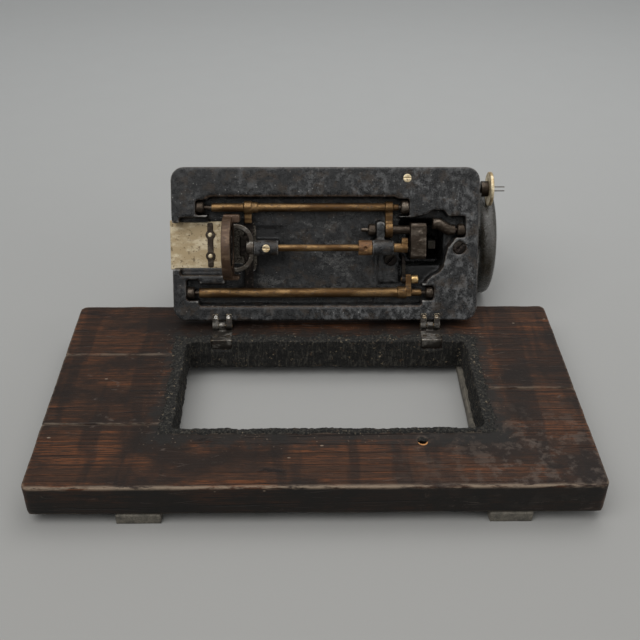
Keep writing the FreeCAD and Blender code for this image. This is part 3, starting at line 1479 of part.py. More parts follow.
def clutch_knob():
    """Fluted knob that locks the wheel to its shaft."""
    x0 = hub_end() + side_gap
    knob = rod_x(x0, x0 + clutch_length, centre_y, shaft_height, clutch_radius)
    knob = knob.makeFillet(3.0, [max(knob.Edges, key=lambda e: e.CenterOfMass.x)])
    flutes = []
    count = 24
    for i in range(count):
        angle = 2 * math.pi * i / count
        reach = clutch_radius + 0.8
        flutes.append(rod_x(x0 - 1, x0 + clutch_length + 1, centre_y + reach * math.cos(angle),
                            shaft_height + reach * math.sin(angle), 1.8))
    bore = rod_x(x0 - 1, shaft_end() + side_gap, centre_y, shaft_height,
                 arm_shaft_radius + running_fit)
    return knob.cut(flutes + [bore])


def clutch_screw():
    """Stop screw in the middle of the clutch knob."""
    x = hub_end() + side_gap + clutch_length
    head = rod_x(x + fixed_fit, x + 1.5, centre_y, shaft_height, 6.0)
    return head.cut(box(x + 0.8, x + 3, centre_y - 0.6, centre_y + 0.6,
                        shaft_height - 7, shaft_height + 7))


# Bobbin winder

winder_x = (right_end - 8.0, right_end - 1.0)
winder_pivot = (centre_y - 38.0, shaft_height - 66.0)
winder_y = centre_y - winder_ahead
winder_z = shaft_height - math.sqrt((wheel_radius + winder_pulley_radius + winder_gap) ** 2
                                    - winder_ahead ** 2)
pulley_x = (wheel_x()[0] + 8.0, wheel_x()[0] + 8.0 + winder_pulley_width)


def winder_pin_holes():
    """Holes in the pillar for the winder bracket's two screws."""
    x0 = pillar_x + 20.0
    z = winder_pivot[1]
    return [rod_x(x0, x0 + 60, centre_y - 14.0, z + dz, 1.6 + fixed_fit) for dz in (-7.0, 7.0)]


def pillar_side_x():
    """Right face of the pillar where the winder bracket sits."""
    return foot[1] - 12.0 + 2.5


def winder_bracket():
    """Bracket on the pillar's side with the winder's pivot boss."""
    y, z = winder_pivot
    side = pillar_side_x()
    plate = box(side, side + 4.0, y - 6, centre_y - 8.0, z - 11, z + 11)
    boss = rod_x(side, winder_x[0] - side_gap, y, z, 8.0)
    pin = rod_x(side + 1, winder_x[1] + side_gap + 3, y, z, 3.0)
    body = fused([plate, boss, pin]).cut(arm_body())
    return body.cut([rod_x(side - 10, side + 9, centre_y - 14.0, z + dz, 1.6 + fixed_fit)
                     for dz in (-7.0, 7.0)])


def winder_bracket_screws():
    """Two screws of the winder bracket."""
    side = pillar_side_x() + 4.0
    z = winder_pivot[1]
    shapes = []
    for dz in (-7.0, 7.0):
        head = rod_x(side + fixed_fit, side + 2.0, centre_y - 14.0, z + dz, 2.8)
        slot = box(side + 1.2, side + 3, centre_y - 18, centre_y - 10, z + dz - 0.4, z + dz + 0.4)
        shapes.append(fused([head, rod_x(side - 12, side + 1, centre_y - 14.0, z + dz,
                                         1.6)]).cut(slot))
    return shapes


def winder_frame():
    """Swinging frame of the bobbin winder."""
    x0, x1 = winder_x
    y, z = winder_pivot
    eye = rod_x(x0, x1, y, z, 8.0)
    boss = rod_x(x0 - 3, pulley_x[0] - winder_collar_length - side_gap, winder_y, winder_z, 6.0)
    ny, nz = winder_z - z, -(winder_y - y)
    size = math.hypot(ny, nz) / 4.5
    ny, nz = ny / size, nz / size
    arm = prism_x([(y - ny, z - nz), (winder_y - ny, winder_z - nz),
                   (winder_y + ny, winder_z + nz), (y + ny, z + nz)], x0, x1)
    holes = [rod_x(x0 - 1, x1 + 1, y, z, 3.0 + running_fit),
             rod_x(x0 - 4, pulley_x[0], winder_y, winder_z, winder_spindle_radius + running_fit)]
    return fused([eye, boss, arm]).cut(holes)


def winder_pulley():
    """Pale pulley that rubs on the handwheel."""
    x0, x1 = pulley_x
    disc = rod_x(x0, x1, winder_y, winder_z, winder_pulley_radius)
    disc = disc.makeFillet(1.2, [e for e in disc.Edges if e.BoundBox.XLength < 0.01])
    return disc.cut(rod_x(x0 - 1, x1 + 1, winder_y, winder_z,
                          winder_spindle_radius + fixed_fit))


def winder_spindle():
    """Spindle with its dark collar and the split end that grips a bobbin."""
    x0, x1 = pulley_x
    spindle = rod_x(winder_x[0] - 4.5, x1 + winder_prong_length, winder_y, winder_z,
                    winder_spindle_radius)
    collar = rod_x(x0 - winder_collar_length, x0 - fixed_fit, winder_y, winder_z,
                   winder_collar_radius)
    stop = rod_x(winder_x[0] - 5.5, winder_x[0] - 3.4, winder_y, winder_z, 4.5)
    half = winder_split / 2
    split = box(x1 + 1.0, x1 + winder_prong_length + 1, winder_y - half, winder_y + half,
                winder_z - 5, winder_z + 5)
    return fused([spindle, collar, stop]).cut(split)


# Putting it together


def group(shapes):
    """Several separate solids that share a node."""
    return Part.makeCompound(list(shapes))


def board_pieces():
    """Every piece that stays with the board."""
    front, rear, left = board_planks()
    return {
        "front_plank": front, "rear_plank": rear, "left_inset_plank": left,
        "battens": battens(), "wood_screws": group(batten_screws() + leaf_screws()),
        "opening_lining": opening_lining(),
        "hinge_leaves": group(hinge_leaf(x + opening_shift) for x in hinge_lines),
        "hinge_pins": hinge_pins(),
    }


def machine_pieces():
    """Every piece that tilts with the machine, still closed and level."""
    cover_screws = (race_screws() + needle_plate_screws() + face_plate_screws()
                    + winder_bracket_screws() + [lifter_screw()])
    return {
        "hinge_fingers": group(hinge_finger(x) for x in hinge_lines),
        "hinge_set_screws": hinge_set_screws(), "bed_casting": bed_casting(),
        "arm_casting": arm_casting(), "arm_bolts": arm_bolts(),
        "bed_screws": group([gauge_screw(), taper_screw()]),
        "pivot_screws": pivot_screws(), "pivot_nuts": pivot_nuts(),
        "shuttle_race": shuttle_race(), "cover_screws": group(cover_screws),
        "shuttle": shuttle(), "bobbin": bobbin(), "shuttle_driver": shuttle_driver(),
        "shuttle_shaft": shuttle_shaft(),
        "shaft_collar": shaft_collar(),
        "front_rocking_shaft": front_rocking_shaft(),
        "rear_rocking_shaft": rear_rocking_shaft(), "fork_roller": fork_roller(),
        "feed_bar": feed_bar(), "feed_dog": feed_dog(), "feed_connection": feed_connection(),
        "rock_shaft": rock_shaft(), "slide_plate": slide_plate(),
        "spring_strip": spring_strip(), "strip_screws": strip_screws(),
        "needle_plate": needle_plate(), "face_plate": face_plate(),
        "take_up_pin": take_up_pin(), "take_up_lever": take_up_lever(),
        "needle_bar": needle_bar(), "needle_clamp": needle_clamp(), "needle": needle(),
        "presser_bar": presser_bar(), "presser_foot": presser_foot(),
        "foot_screw": foot_screw(), "lifter_lever": lifter_lever(),
        "tension_post": tension_post(),
        "tension_discs": group(tension_discs() + [tension_spring()]),
        "tension_nut": tension_nut(), "spool_pin": spool_pin(),
        "thread_guides": thread_guides(), "stitch_regulator": stitch_regulator(),
        "arm_shaft": arm_shaft(), "needle_link": needle_link(), "pillar_rod": pillar_rod(),
        "handwheel": handwheel(), "clutch_knob": clutch_knob(), "clutch_screw": clutch_screw(),
        "winder_bracket": winder_bracket(), "winder_frame": winder_frame(),
        "winder_pulley": winder_pulley(), "winder_spindle": winder_spindle(),
    }


def swung_back(shape):
    """Move a closed machine piece to the board and lean it back on the hinges."""
    placed = shape.copy()
    placed.translate(V(opening_shift, axis_y - hinge_behind, bed_underside))
    placed.rotate(V(0, axis_y, axis_height), V(1, 0, 0), -(90 + lean))
    return placed


def main():
    """Build every piece, centre the whole over the origin and write the files."""
    pieces = board_pieces()
    for name, shape in machine_pieces().items():
        pieces[name] = swung_back(shape)
    bounds = Part.makeCompound(list(pieces.values())).optimalBoundingBox(False, False)
    shift = V(-(bounds.XMin + bounds.XMax) / 2, -(bounds.YMin + bounds.YMax) / 2, -bounds.ZMin)
    os.makedirs("parts", exist_ok=True)
    for name, shape in pieces.items():
        shape.translate(shift)
        shape.exportStep(os.path.join("parts", name + ".step"))
        print(f"{name:24} solids {len(shape.Solids)} volume {shape.Volume:12.1f} "
              f"valid {shape.isValid()}")
    print("shift", shift, "lean", lean)
    print("size", bounds.XLength, bounds.YLength, bounds.ZLength)


main()
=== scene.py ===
"""Dresses the tilted sewing machine and its base board for their picture.

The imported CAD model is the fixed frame.  Worn copies of its castings, planks
and steelwork stand in front of the plain nodes, and every finish is built from
shader nodes in the object's own coordinates, counted in millimetres.
"""
from __future__ import annotations

import json
import logging
import math
from collections.abc import Callable, Iterable, Mapping, Sequence
from dataclasses import dataclass, field
from enum import Enum
from typing import Any, Union

import bpy
from mathutils import Euler, Matrix, Vector, noise

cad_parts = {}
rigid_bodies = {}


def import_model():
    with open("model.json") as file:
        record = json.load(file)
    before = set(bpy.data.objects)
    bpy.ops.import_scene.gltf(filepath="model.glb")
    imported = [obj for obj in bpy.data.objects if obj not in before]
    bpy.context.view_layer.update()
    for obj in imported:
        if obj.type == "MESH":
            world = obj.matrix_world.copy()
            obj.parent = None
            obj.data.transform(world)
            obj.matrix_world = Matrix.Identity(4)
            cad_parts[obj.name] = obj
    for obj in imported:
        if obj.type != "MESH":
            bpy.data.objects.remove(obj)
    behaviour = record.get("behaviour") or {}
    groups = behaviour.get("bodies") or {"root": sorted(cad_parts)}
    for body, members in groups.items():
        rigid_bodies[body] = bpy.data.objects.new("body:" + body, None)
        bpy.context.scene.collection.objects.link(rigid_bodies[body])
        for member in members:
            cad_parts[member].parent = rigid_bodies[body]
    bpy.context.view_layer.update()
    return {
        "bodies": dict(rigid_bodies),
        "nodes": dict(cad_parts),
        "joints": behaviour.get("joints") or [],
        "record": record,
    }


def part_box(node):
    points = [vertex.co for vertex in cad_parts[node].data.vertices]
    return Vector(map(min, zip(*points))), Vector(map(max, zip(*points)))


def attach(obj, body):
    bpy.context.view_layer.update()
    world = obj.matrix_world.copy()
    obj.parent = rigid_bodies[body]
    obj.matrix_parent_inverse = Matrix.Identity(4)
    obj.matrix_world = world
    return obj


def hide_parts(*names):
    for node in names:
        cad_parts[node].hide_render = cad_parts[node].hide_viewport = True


LOG = logging.getLogger("sewing_machine")
MM = 0.001

Colour = tuple[float, float, float]


# Where things are


@dataclass(frozen=True)
class Machine:
    """Places points of the closed, level machine where the tilted one has them."""

    pin: tuple[float, float]
    lean: float
    board_front: float
    board_top: float
    opening: tuple[float, float, float, float]
    shift: float = 14.0
    behind: float = 6.0
    above: float = 3.0

    @classmethod
    def from_frame(cls, frame: Mapping[str, Any]) -> "Machine":
        """Read the hinge, the lean and the board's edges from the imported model.


        Returns:
            The machine's place.
        """
        low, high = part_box("hinge_pins")
        tilt = next(joint for joint in frame["record"]["behaviour"]["joints"]
                    if joint["name"] == "head_tilt")
        board_low, board_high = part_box("front_plank")
        felt_low, felt_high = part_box("opening_lining")
        return cls(pin=((low[1] + high[1]) / 2, (low[2] + high[2]) / 2),
                   lean=max(abs(end) for end in tilt["range_deg"]) - 90.0,
                   board_front=board_low[1], board_top=board_high[2],
                   opening=tuple(value / MM for value in (*felt_low[:2], *felt_high[:2])))

    def matrix(self) -> Matrix:
        """Transform from closed machine millimetres to frame metres."""
        pin = Matrix.Translation((0, *self.pin))
        closed = Matrix.Translation(Vector((self.shift, -self.behind, -self.above)) * MM)
        turn = Matrix.Rotation(math.radians(-90.0 - self.lean), 4, "X")
        return pin @ turn @ closed @ Matrix.Scale(MM, 4)


class Place(Enum):
    """Which piece of the object a pattern is laid out along."""

    BOARD = "board"
    MACHINE = "machine"

    def matrix(self, machine: Machine) -> Matrix:
        """Transform from this layout's millimetres to frame metres."""
        return machine.matrix() if self is Place.MACHINE else Matrix.Scale(MM, 4)


# Shader graphs


class Signal:
    """A shader socket that arithmetic works on."""

    def __init__(self, graph: "Graph", socket: bpy.types.NodeSocket) -> None:
        """Keep the socket and the graph that it belongs to.

        Args:
            graph: Graph that new nodes go into.
            socket: Output socket that carries the value.
        """
        self.graph = graph
        self.socket = socket

    def _math(self, operation: str, first: "Operand", second: "Operand" = 0.0) -> "Signal":
        """Add one Math node.

        Args:
            operation: Name of the Math operation.
            first: First operand.
            second: Second operand.

        Returns:
            The node's value.
        """
        return self.graph.node("ShaderNodeMath", {0: first, 1: second}, operation=operation)

    def __add__(self, other: "Operand") -> "Signal":
        """Sum."""
        return self._math("ADD", self, other)

    __radd__ = __add__

    def __sub__(self, other: "Operand") -> "Signal":
        """Difference."""
        return self._math("SUBTRACT", self, other)

    def __rsub__(self, other: "Operand") -> "Signal":
        """Difference from a plain number."""
        return self._math("SUBTRACT", other, self)

    def __mul__(self, other: "Operand") -> "Signal":
        """Product."""
        return self._math("MULTIPLY", self, other)

    __rmul__ = __mul__

    def __truediv__(self, other: "Operand") -> "Signal":
        """Quotient."""
        return self._math("DIVIDE", self, other)

    def __pow__(self, other: "Operand") -> "Signal":
        """Power."""
        return self._math("POWER", self, other)

    def __abs__(self) -> "Signal":
        """Absolute value."""
        return self._math("ABSOLUTE", self)

    def lower(self, other: "Operand") -> "Signal":
        """Smaller of two values."""
        return self._math("MINIMUM", self, other)

    def upper(self, other: "Operand") -> "Signal":
        """Larger of two values."""
        return self._math("MAXIMUM", self, other)

    def step(self, start: float, end: float) -> "Signal":
        """Smooth step between two values.

        Args:
            start: Value that gives 0.
            end: Value that gives 1, which may be the smaller of the two.

        Returns:
            The value eased from 0 to 1.
        """
        low, high = min(start, end), max(start, end)
        ends = (0.0, 1.0) if end >= start else (1.0, 0.0)
        return self.graph.node(
            "ShaderNodeMapRange",
            {"Value": self, "From Min": low, "From Max": high, "To Min": ends[0], "To Max": ends[1]},
            interpolation_type="SMOOTHSTEP")

    def band(self, low: float, high: float, soft: float) -> "Signal":
        """Mask that is 1 between two values.

        Args:
            low: Lower end.
            high: Upper end.
            soft: Width over which the mask fades.

        Returns:
            The mask.
        """
        return self.step(low - soft, low + soft) * self.step(high + soft, high - soft)


Operand = Union[Signal, float, int, Sequence[float]]


class Graph:
    """Node tree of one material, with one method that adds its nodes."""

    def __init__(self, name: str, machine: Machine) -> None:
        """Start an empty material.

        Args:
            name: Name of the material.
            machine: Where the machine stands.
        """
        self.machine = machine
        self.material = bpy.data.materials.new(name)
        self.material.use_nodes = True
        self.tree = self.material.node_tree
        self.tree.nodes.clear()

    def node(self, kind: str, inputs: Mapping[Any, Operand], output: Any = 0,
             stops: Sequence[tuple[float, Colour]] = (), **settings: Any) -> Signal:
        """Add any node.

        Args:
            kind: Type name of the node.
            inputs: Values or links by socket name or number.
            output: Name or number of the wanted output.
            stops: Positions and colours of a ramp.
            **settings: Properties that are set before the sockets.

        Returns:
            The wanted output.
        """
        made = self.tree.nodes.new(kind)
        for name, value in settings.items():
            setattr(made, name, value)
        for number, (position, colour) in enumerate(stops):
            elements = made.color_ramp.elements
            element = elements[number] if number < 2 else elements.new(position)
            element.position = position
            element.color = (*colour, 1.0)
        for key, value in inputs.items():
            socket = made.inputs[key]
            if isinstance(value, Signal):
                self.tree.links.new(value.socket, socket)
            elif isinstance(value, (int, float)):
                socket.default_value = float(value)
            elif len(value) == 3 and socket.type == "RGBA":
                socket.default_value = (*value, 1.0)
            else:
                socket.default_value = tuple(value)
        return Signal(self, made.outputs[output])

    def place(self, where: Place) -> Signal:
        """Coordinates in millimetres, along the board or the closed machine."""
        seat = self.node("ShaderNodeTexCoord", {}, "Object")
        matrix = where.matrix(self.machine)
        return self.node("ShaderNodeMapping", {
            "Vector": seat, "Location": tuple(matrix.translation),
            "Rotation": tuple(matrix.to_euler()), "Scale": (MM, MM, MM)}, vector_type="TEXTURE")

    def stretch(self, vector: Signal, scale: Sequence[float], turn: Sequence[float] = (0, 0, 0),
                move: Sequence[float] = (0, 0, 0)) -> Signal:
        """Scaled, turned and moved coordinates."""
        return self.node("ShaderNodeMapping", {
            "Vector": vector, "Scale": scale, "Rotation": turn, "Location": move})

    def axes(self, vector: Signal) -> tuple[Signal, Signal, Signal]:
        """The three parts of a vector."""
        split = self.node("ShaderNodeSeparateXYZ", {"Vector": vector})
        outputs = split.socket.node.outputs
        return tuple(Signal(self, outputs[number]) for number in range(3))

    def speckle(self, vector: Signal, size: float, detail: float = 3.0, rough: float = 0.55,
                warp: float = 0.0) -> Signal:
        """Noise whose lumps are about a size in millimetres."""
        return self.node("ShaderNodeTexNoise", {
            "Vector": vector, "Scale": 1.0 / size, "Detail": detail, "Roughness": rough,
            "Distortion": warp}, "Fac")

    def cells(self, vector: Signal, size: float, feature: str = "F1", output: str = "Distance") -> Signal:
        """Voronoi cells about a size in millimetres."""
        return self.node("ShaderNodeTexVoronoi", {"Vector": vector, "Scale": 1.0 / size},
                         output, feature=feature)

    def ramp(self, value: Operand, *stops: tuple[float, Colour]) -> Signal:
        """Colours along a value."""
        return self.node("ShaderNodeValToRGB", {0: value}, "Color", stops=stops)

    def mix(self, amount: Operand, first: Operand, second: Operand, blend: str = "MIX") -> Signal:
        """Blend of two colours.

        Args:
            amount: Share of the second colour.
            first: First colour.
            second: Second colour.
            blend: Name of the blend type.

        Returns:
            The blended colour.
        """
        return self.node("ShaderNodeMix", {0: amount, 6: first, 7: second}, 2,
                         data_type="RGBA", blend_type=blend)

    def convex(self, start: float, end: float) -> Signal:
        """Mask of corners, which stand above 0.5, or of creases, which lie below it."""
        return self.node("ShaderNodeNewGeometry", {}, "Pointiness").step(start, end)

    def bump(self, height: Signal, depth: float, strength: float = 1.0) -> Signal:
        """Normal from a height that counts in a depth in millimetres."""
        return self.node("ShaderNodeBump", {
            "Height": height, "Distance": depth * MM, "Strength": strength}, "Normal")

    def finish(self, **sockets: Operand) -> bpy.types.Material:
        """Close the graph with a Principled shader.

        Args:
            **sockets: Values by socket name, with _ for a space.

        Returns:
            The material.
        """
        values = {name.replace("_", " "): value for name, value in sockets.items()}
        shader = self.node("ShaderNodeBsdfPrincipled", values, "BSDF")
        output = self.tree.nodes.new("ShaderNodeOutputMaterial")
        self.tree.links.new(shader.socket, output.inputs["Surface"])
        return self.material


# Finishes


@dataclass(frozen=True)
class StainedWood:
    """Dark stained softwood, rubbed through to orange streaks along its grain."""

    name: str = "stained_wood"
    dark: Colour = (0.0085, 0.0060, 0.0050)
    brown: Colour = (0.038, 0.0172, 0.0090)
    orange: Colour = (0.098, 0.033, 0.0115)
    grey: Colour = (0.085, 0.066, 0.054)
    dirty: Colour = (0.0115, 0.0112, 0.0105)
    pale: Colour = (0.190, 0.145, 0.105)
    fresh: Colour = (0.42, 0.20, 0.075)

    def material(self, machine: Machine) -> bpy.types.Material:
        """Build the shader.

        Args:
            machine: Where the machine stands, for the board's edges.

        Returns:
            The material.
        """
        g = Graph(self.name, machine)
        at = g.place(Place.BOARD)
        x, y, z = g.axes(at)
        ahead, under = y - machine.board_front / MM, machine.board_top / MM - z
        left, front, right, rear = machine.opening
        beside = (left - x).upper(x - right).upper(front - y).upper(y - rear)
        rings = g.speckle(g.stretch(at, (0.012, 1.0, 0.6)), 6.0, 5.0, 0.66, 0.9)
        fibre = g.speckle(g.stretch(at, (0.05, 1.0, 1.0)), 1.5, 5.0, 0.74)
        patch = g.speckle(g.stretch(at, (0.55, 1.0, 1.0)), 62.0, 5.0, 0.62)
        blotch = g.speckle(at, 14.0, 6.0, 0.7)
        wash = g.speckle(g.stretch(at, (1.0, 0.14, 1.0), move=(17, 0, 0)), 30.0, 3.0, 0.6)
        colour = g.mix(patch.step(0.38, 0.58) * 0.75 + rings * 0.3, self.dark, self.brown)
        streak = rings.step(0.45, 0.60) * patch.step(0.42, 0.60) * fibre.step(0.42, 0.58)
        colour = g.mix(streak * 0.9, colour, self.orange)
        colour = g.mix(fibre.step(0.52, 0.44) * 0.5, colour, self.dark)
        colour = g.mix(wash.step(0.50, 0.60) * 0.6, colour, self.dark)
        soot = (beside + blotch * 60.0 - 30.0).step(14.0, -4.0)
        colour = g.mix(soot * 0.75, colour, self.dirty)
        dusty = blotch.step(0.48, 0.60) * x.step(40.0, 240.0) * ahead.step(150.0, 60.0)
        colour = g.mix(dusty * 0.4, colour, self.grey)
        specks = g.cells(at, 4.2).step(0.20, 0.13) * blotch.step(0.49, 0.55)
        colour = g.mix(specks * (beside.step(22.0, 2.0) * 0.35 + 0.03), colour, self.pale)
        crack = g.cells(g.stretch(at, (0.012, 1.0, 0.4)), 13.0, "DISTANCE_TO_EDGE")
        split = crack.step(0.022, 0.006) * patch.step(0.46, 0.54)
        colour = g.mix(split * 0.85, colour, (0.004, 0.003, 0.003))
        colour = g.mix(ahead.step(2.4, 0.6) * under.step(1.0, 4.0) * 0.8, colour, self.dirty)
        fray = g.speckle(g.stretch(at, (0.2, 1.0, 1.0)), 5.0, 5.0, 0.7)
        edge = g.convex(0.512, 0.56)
        front_edge = ahead.step(5.5, 1.0) * under.step(4.0, 0.5)
        worn = (edge * 0.65).upper(front_edge) * fray.step(0.40, 0.56)
        colour = g.mix(worn * 0.8, colour, self.pale)
        scratch = g.cells(g.stretch(at, (0.07, 1.0, 1.0), (0, 0, 0.24)), 11.0, "DISTANCE_TO_EDGE")
        line = scratch.step(0.016, 0.003) * blotch.step(0.48, 0.60)
        colour = g.mix(line * 0.4, colour, self.grey)
        nick = g.cells(g.stretch(at, (0.5, 1.0, 1.0), move=(31, 7, 0)), 17.0)
        chip = nick.step(0.07, 0.045) * patch.step(0.50, 0.56)
        colour = g.mix(chip * 0.7, colour, self.pale)
        hole_x, hole_y, hole_radius = 112.0, machine.board_front / MM + 64.5, 5.5
        away = (abs(x - hole_x) ** 2.0 + abs(y - hole_y) ** 2.0) ** 0.5
        colour = g.mix(away.step(hole_radius, hole_radius - 1.0), colour, self.fresh)
        colour = g.mix(away.step(hole_radius * 0.6, hole_radius * 0.4) * 0.7, colour, self.dark)
        knot_x, knot_y = 243.0, machine.board_front / MM + 28.0
        ring = (abs(x - knot_x) ** 2.0 * 0.35 + abs(y - knot_y) ** 2.0) ** 0.5
        colour = g.mix((ring + blotch * 4.0).step(9.0, 5.0) * 0.85, colour, self.dark)
        height = fibre * 0.45 + rings * 0.55 + blotch * 0.35 - line * 0.4 - split * 0.9 - chip * 0.5
        rough = 0.42 + blotch * 0.22 + worn * 0.2
        return g.finish(Base_Color=colour, Roughness=rough, Specular_IOR_Level=0.13,
                        Normal=g.bump(height, 0.9, 0.8))


@dataclass(frozen=True)
class RawWood:
    """Unstained, dirty softwood of the battens."""

    name: str = "raw_wood"

    def material(self, machine: Machine) -> bpy.types.Material:
        """Build the shader.

        Args:
            machine: Where the machine stands.

        Returns:
            The material.
        """
        g = Graph(self.name, machine)
        at = g.place(Place.BOARD)
        fibre = g.speckle(g.stretch(at, (1.0, 0.04, 1.0)), 1.6, 4.0, 0.65)
        dirt = g.speckle(at, 11.0, 5.0, 0.6)
        colour = g.ramp(fibre, (0.30, (0.050, 0.044, 0.034)), (0.70, (0.135, 0.120, 0.095)))
        colour = g.mix(dirt.step(0.44, 0.66) * 0.75, colour, (0.028, 0.025, 0.021))
        return g.finish(Base_Color=colour, Roughness=0.85, Normal=g.bump(fibre + dirt, 0.5, 0.6))


@dataclass(frozen=True)
class MattedFelt:
    """Black felt, matted, dusty and stiff with old glue."""

    name: str = "matted_felt"

    def material(self, machine: Machine) -> bpy.types.Material:
        """Build the shader.

        Args:
            machine: Where the machine stands.

        Returns:
            The material.
        """
        g = Graph(self.name, machine)
        at = g.place(Place.BOARD)
        hair = g.speckle(at, 1.1, 5.0, 0.78, 1.2)
        lump = g.speckle(at, 6.5, 5.0, 0.66)
        dust = g.speckle(g.stretch(at, (1, 1, 1), move=(40, 0, 0)), 3.4, 5.0, 0.72)
        fold = g.speckle(g.stretch(at, (1.0, 1.0, 0.18)), 3.0, 5.0, 0.7)
        colour = g.mix(hair.step(0.45, 0.60), (0.0032, 0.0032, 0.0030), (0.020, 0.019, 0.017))
        colour = g.mix(fold.step(0.50, 0.60) * 0.5, colour, (0.060, 0.055, 0.045))
        colour = g.mix(dust.step(0.57, 0.64) * lump.step(0.49, 0.58) * 0.7, colour,
                       (0.240, 0.190, 0.125))
        glue = g.speckle(g.stretch(at, (1, 1, 1), move=(0, 33, 0)), 10.0, 5.0, 0.7)
        colour = g.mix(glue.step(0.60, 0.70) * 0.5, colour, (0.085, 0.050, 0.028))
        return g.finish(Base_Color=colour, Roughness=0.92, Specular_IOR_Level=0.25,
                        Normal=g.bump(hair * 0.6 + lump + fold, 1.8, 1.0))


@dataclass(frozen=True)
class JapannedIron:
    """Baked black japan over rough cast iron, rubbed grey and browned with old oil; its creases, boss
    pocket and pillar well carry painted shade, and its edges and ledge carry painted highlights.
    """

    name: str = "japanned_iron"
    black: Colour = (0.0060, 0.0060, 0.0062)
    rubbed: Colour = (0.078, 0.078, 0.078)
    oil: Colour = (0.036, 0.023, 0.013)
    bright: Colour = (0.330, 0.320, 0.300)
    wear: float = 1.0
    roughness: float = 0.26
    gloss: float = 0.26

    def material(self, machine: Machine) -> bpy.types.Material:
        """Build the shader.

        Args:
            machine: Where the machine stands.

        Returns:
            The material.
        """
        g = Graph(self.name, machine)
        at = g.place(Place.MACHINE)
        x, y, z = g.axes(at)
        cast = g.speckle(g.stretch(at, (1.0, 0.8, 1.0)), 7.5, 7.0, 0.74)
        grit = g.speckle(at, 1.7, 5.0, 0.72)
        cloud = g.speckle(at, 30.0, 4.0, 0.6)
        pits = g.cells(at, 5.0)
        low = z.step(4.0, 1.0)
        side = x.step(-140.0, 150.0) * 0.6 + 0.6
        worn = cast.step(0.46, 0.60) * 0.75 * cloud.step(0.36, 0.60) + grit.step(0.52, 0.62) * 0.3
        shown = worn * (low * 0.55 + 0.45) * side * self.wear
        colour = g.mix(shown.lower(1.0), self.black, self.rubbed)
        # Painted highlight: the ledge round the recess is painted as a mottled brown strip, the way it
        # looks when lit.
        ledge_highlight = z.band(0.9, 2.3, 0.3) * grit.step(0.36, 0.60)
        colour = g.mix(ledge_highlight * 0.5 * self.wear, colour, (0.085, 0.048, 0.025))
        sparks = pits.step(0.16, 0.09) * cast.step(0.50, 0.56)
        colour = g.mix(sparks * 0.5 * self.wear, colour, self.bright)
        brown = g.speckle(g.stretch(at, (1, 1, 1), move=(0, 70, 0)), 16.0, 6.0, 0.7)
        stain = brown.step(0.52, 0.60)
        colour = g.mix(stain * 0.35, colour, self.oil)
        scuff = g.speckle(g.stretch(at, (0.5, 1.0, 1.0), move=(5, 11, 0)), 22.0, 6.0, 0.74)
        dust = scuff.step(0.55, 0.62) * grit.step(0.42, 0.56) * z.step(4.0, 9.0)
        colour = g.mix(dust * 0.45 * self.wear, colour, (0.100, 0.098, 0.092))
        # Convex edges are lightened: partly grey wear, partly a painted highlight where rounded edges catch
        # the light.
        edge = g.convex(0.53, 0.60) * grit.step(0.30, 0.55)
        colour = g.mix(edge * 0.8 * self.wear, colour, self.bright)
        # Painted shade: creases, the pocket round the left boss and the well under the pillar are painted
        # near black where shade falls.
        crease_shade = g.convex(0.485, 0.44)
        boss_pocket_shade = x.band(-92.0, -44.0, 2.0) * abs(y + 90.0).step(27.0, 24.0) * z.step(3.0, 6.0)
        pillar_well_shade = x.band(90.0, 150.0, 3.0) * y.band(-125.0, -45.0, 3.0) * z.step(12.0, 18.0)
        colour = g.mix(crease_shade.upper(boss_pocket_shade * 0.85).upper(pillar_well_shade), colour, (0.002, 0.002, 0.002))
        rough = self.roughness + cast.step(0.42, 0.58) * 0.24 + grit.step(0.45, 0.6) * 0.1
        relief = cast * 0.8 + grit * 0.5 - pits.step(0.2, 0.0) * 0.4
        return g.finish(Base_Color=colour, Roughness=rough, Specular_IOR_Level=self.gloss,
                        Normal=g.bump(relief, 1.1, 0.9))


@dataclass(frozen=True)
class BlackHole:
    """Painted shade for the inside of the pillar: near black, where no light comes back."""

    name: str = "pillar_painted_shade"

    def material(self, machine: Machine) -> bpy.types.Material:
        """Build the shader.

        Args:
            machine: Where the machine stands.

        Returns:
            The material.
        """
        g = Graph(self.name, machine)
        at = g.place(Place.MACHINE)
        crumb = g.speckle(at, 3.0, 5.0, 0.7)
        colour = g.ramp(crumb, (0.45, (0.0015, 0.0014, 0.0013)), (0.75, (0.012, 0.010, 0.008)))
        return g.finish(Base_Color=colour, Roughness=0.95, Specular_IOR_Level=0.1,
                        Normal=g.bump(crumb, 0.6, 0.8))


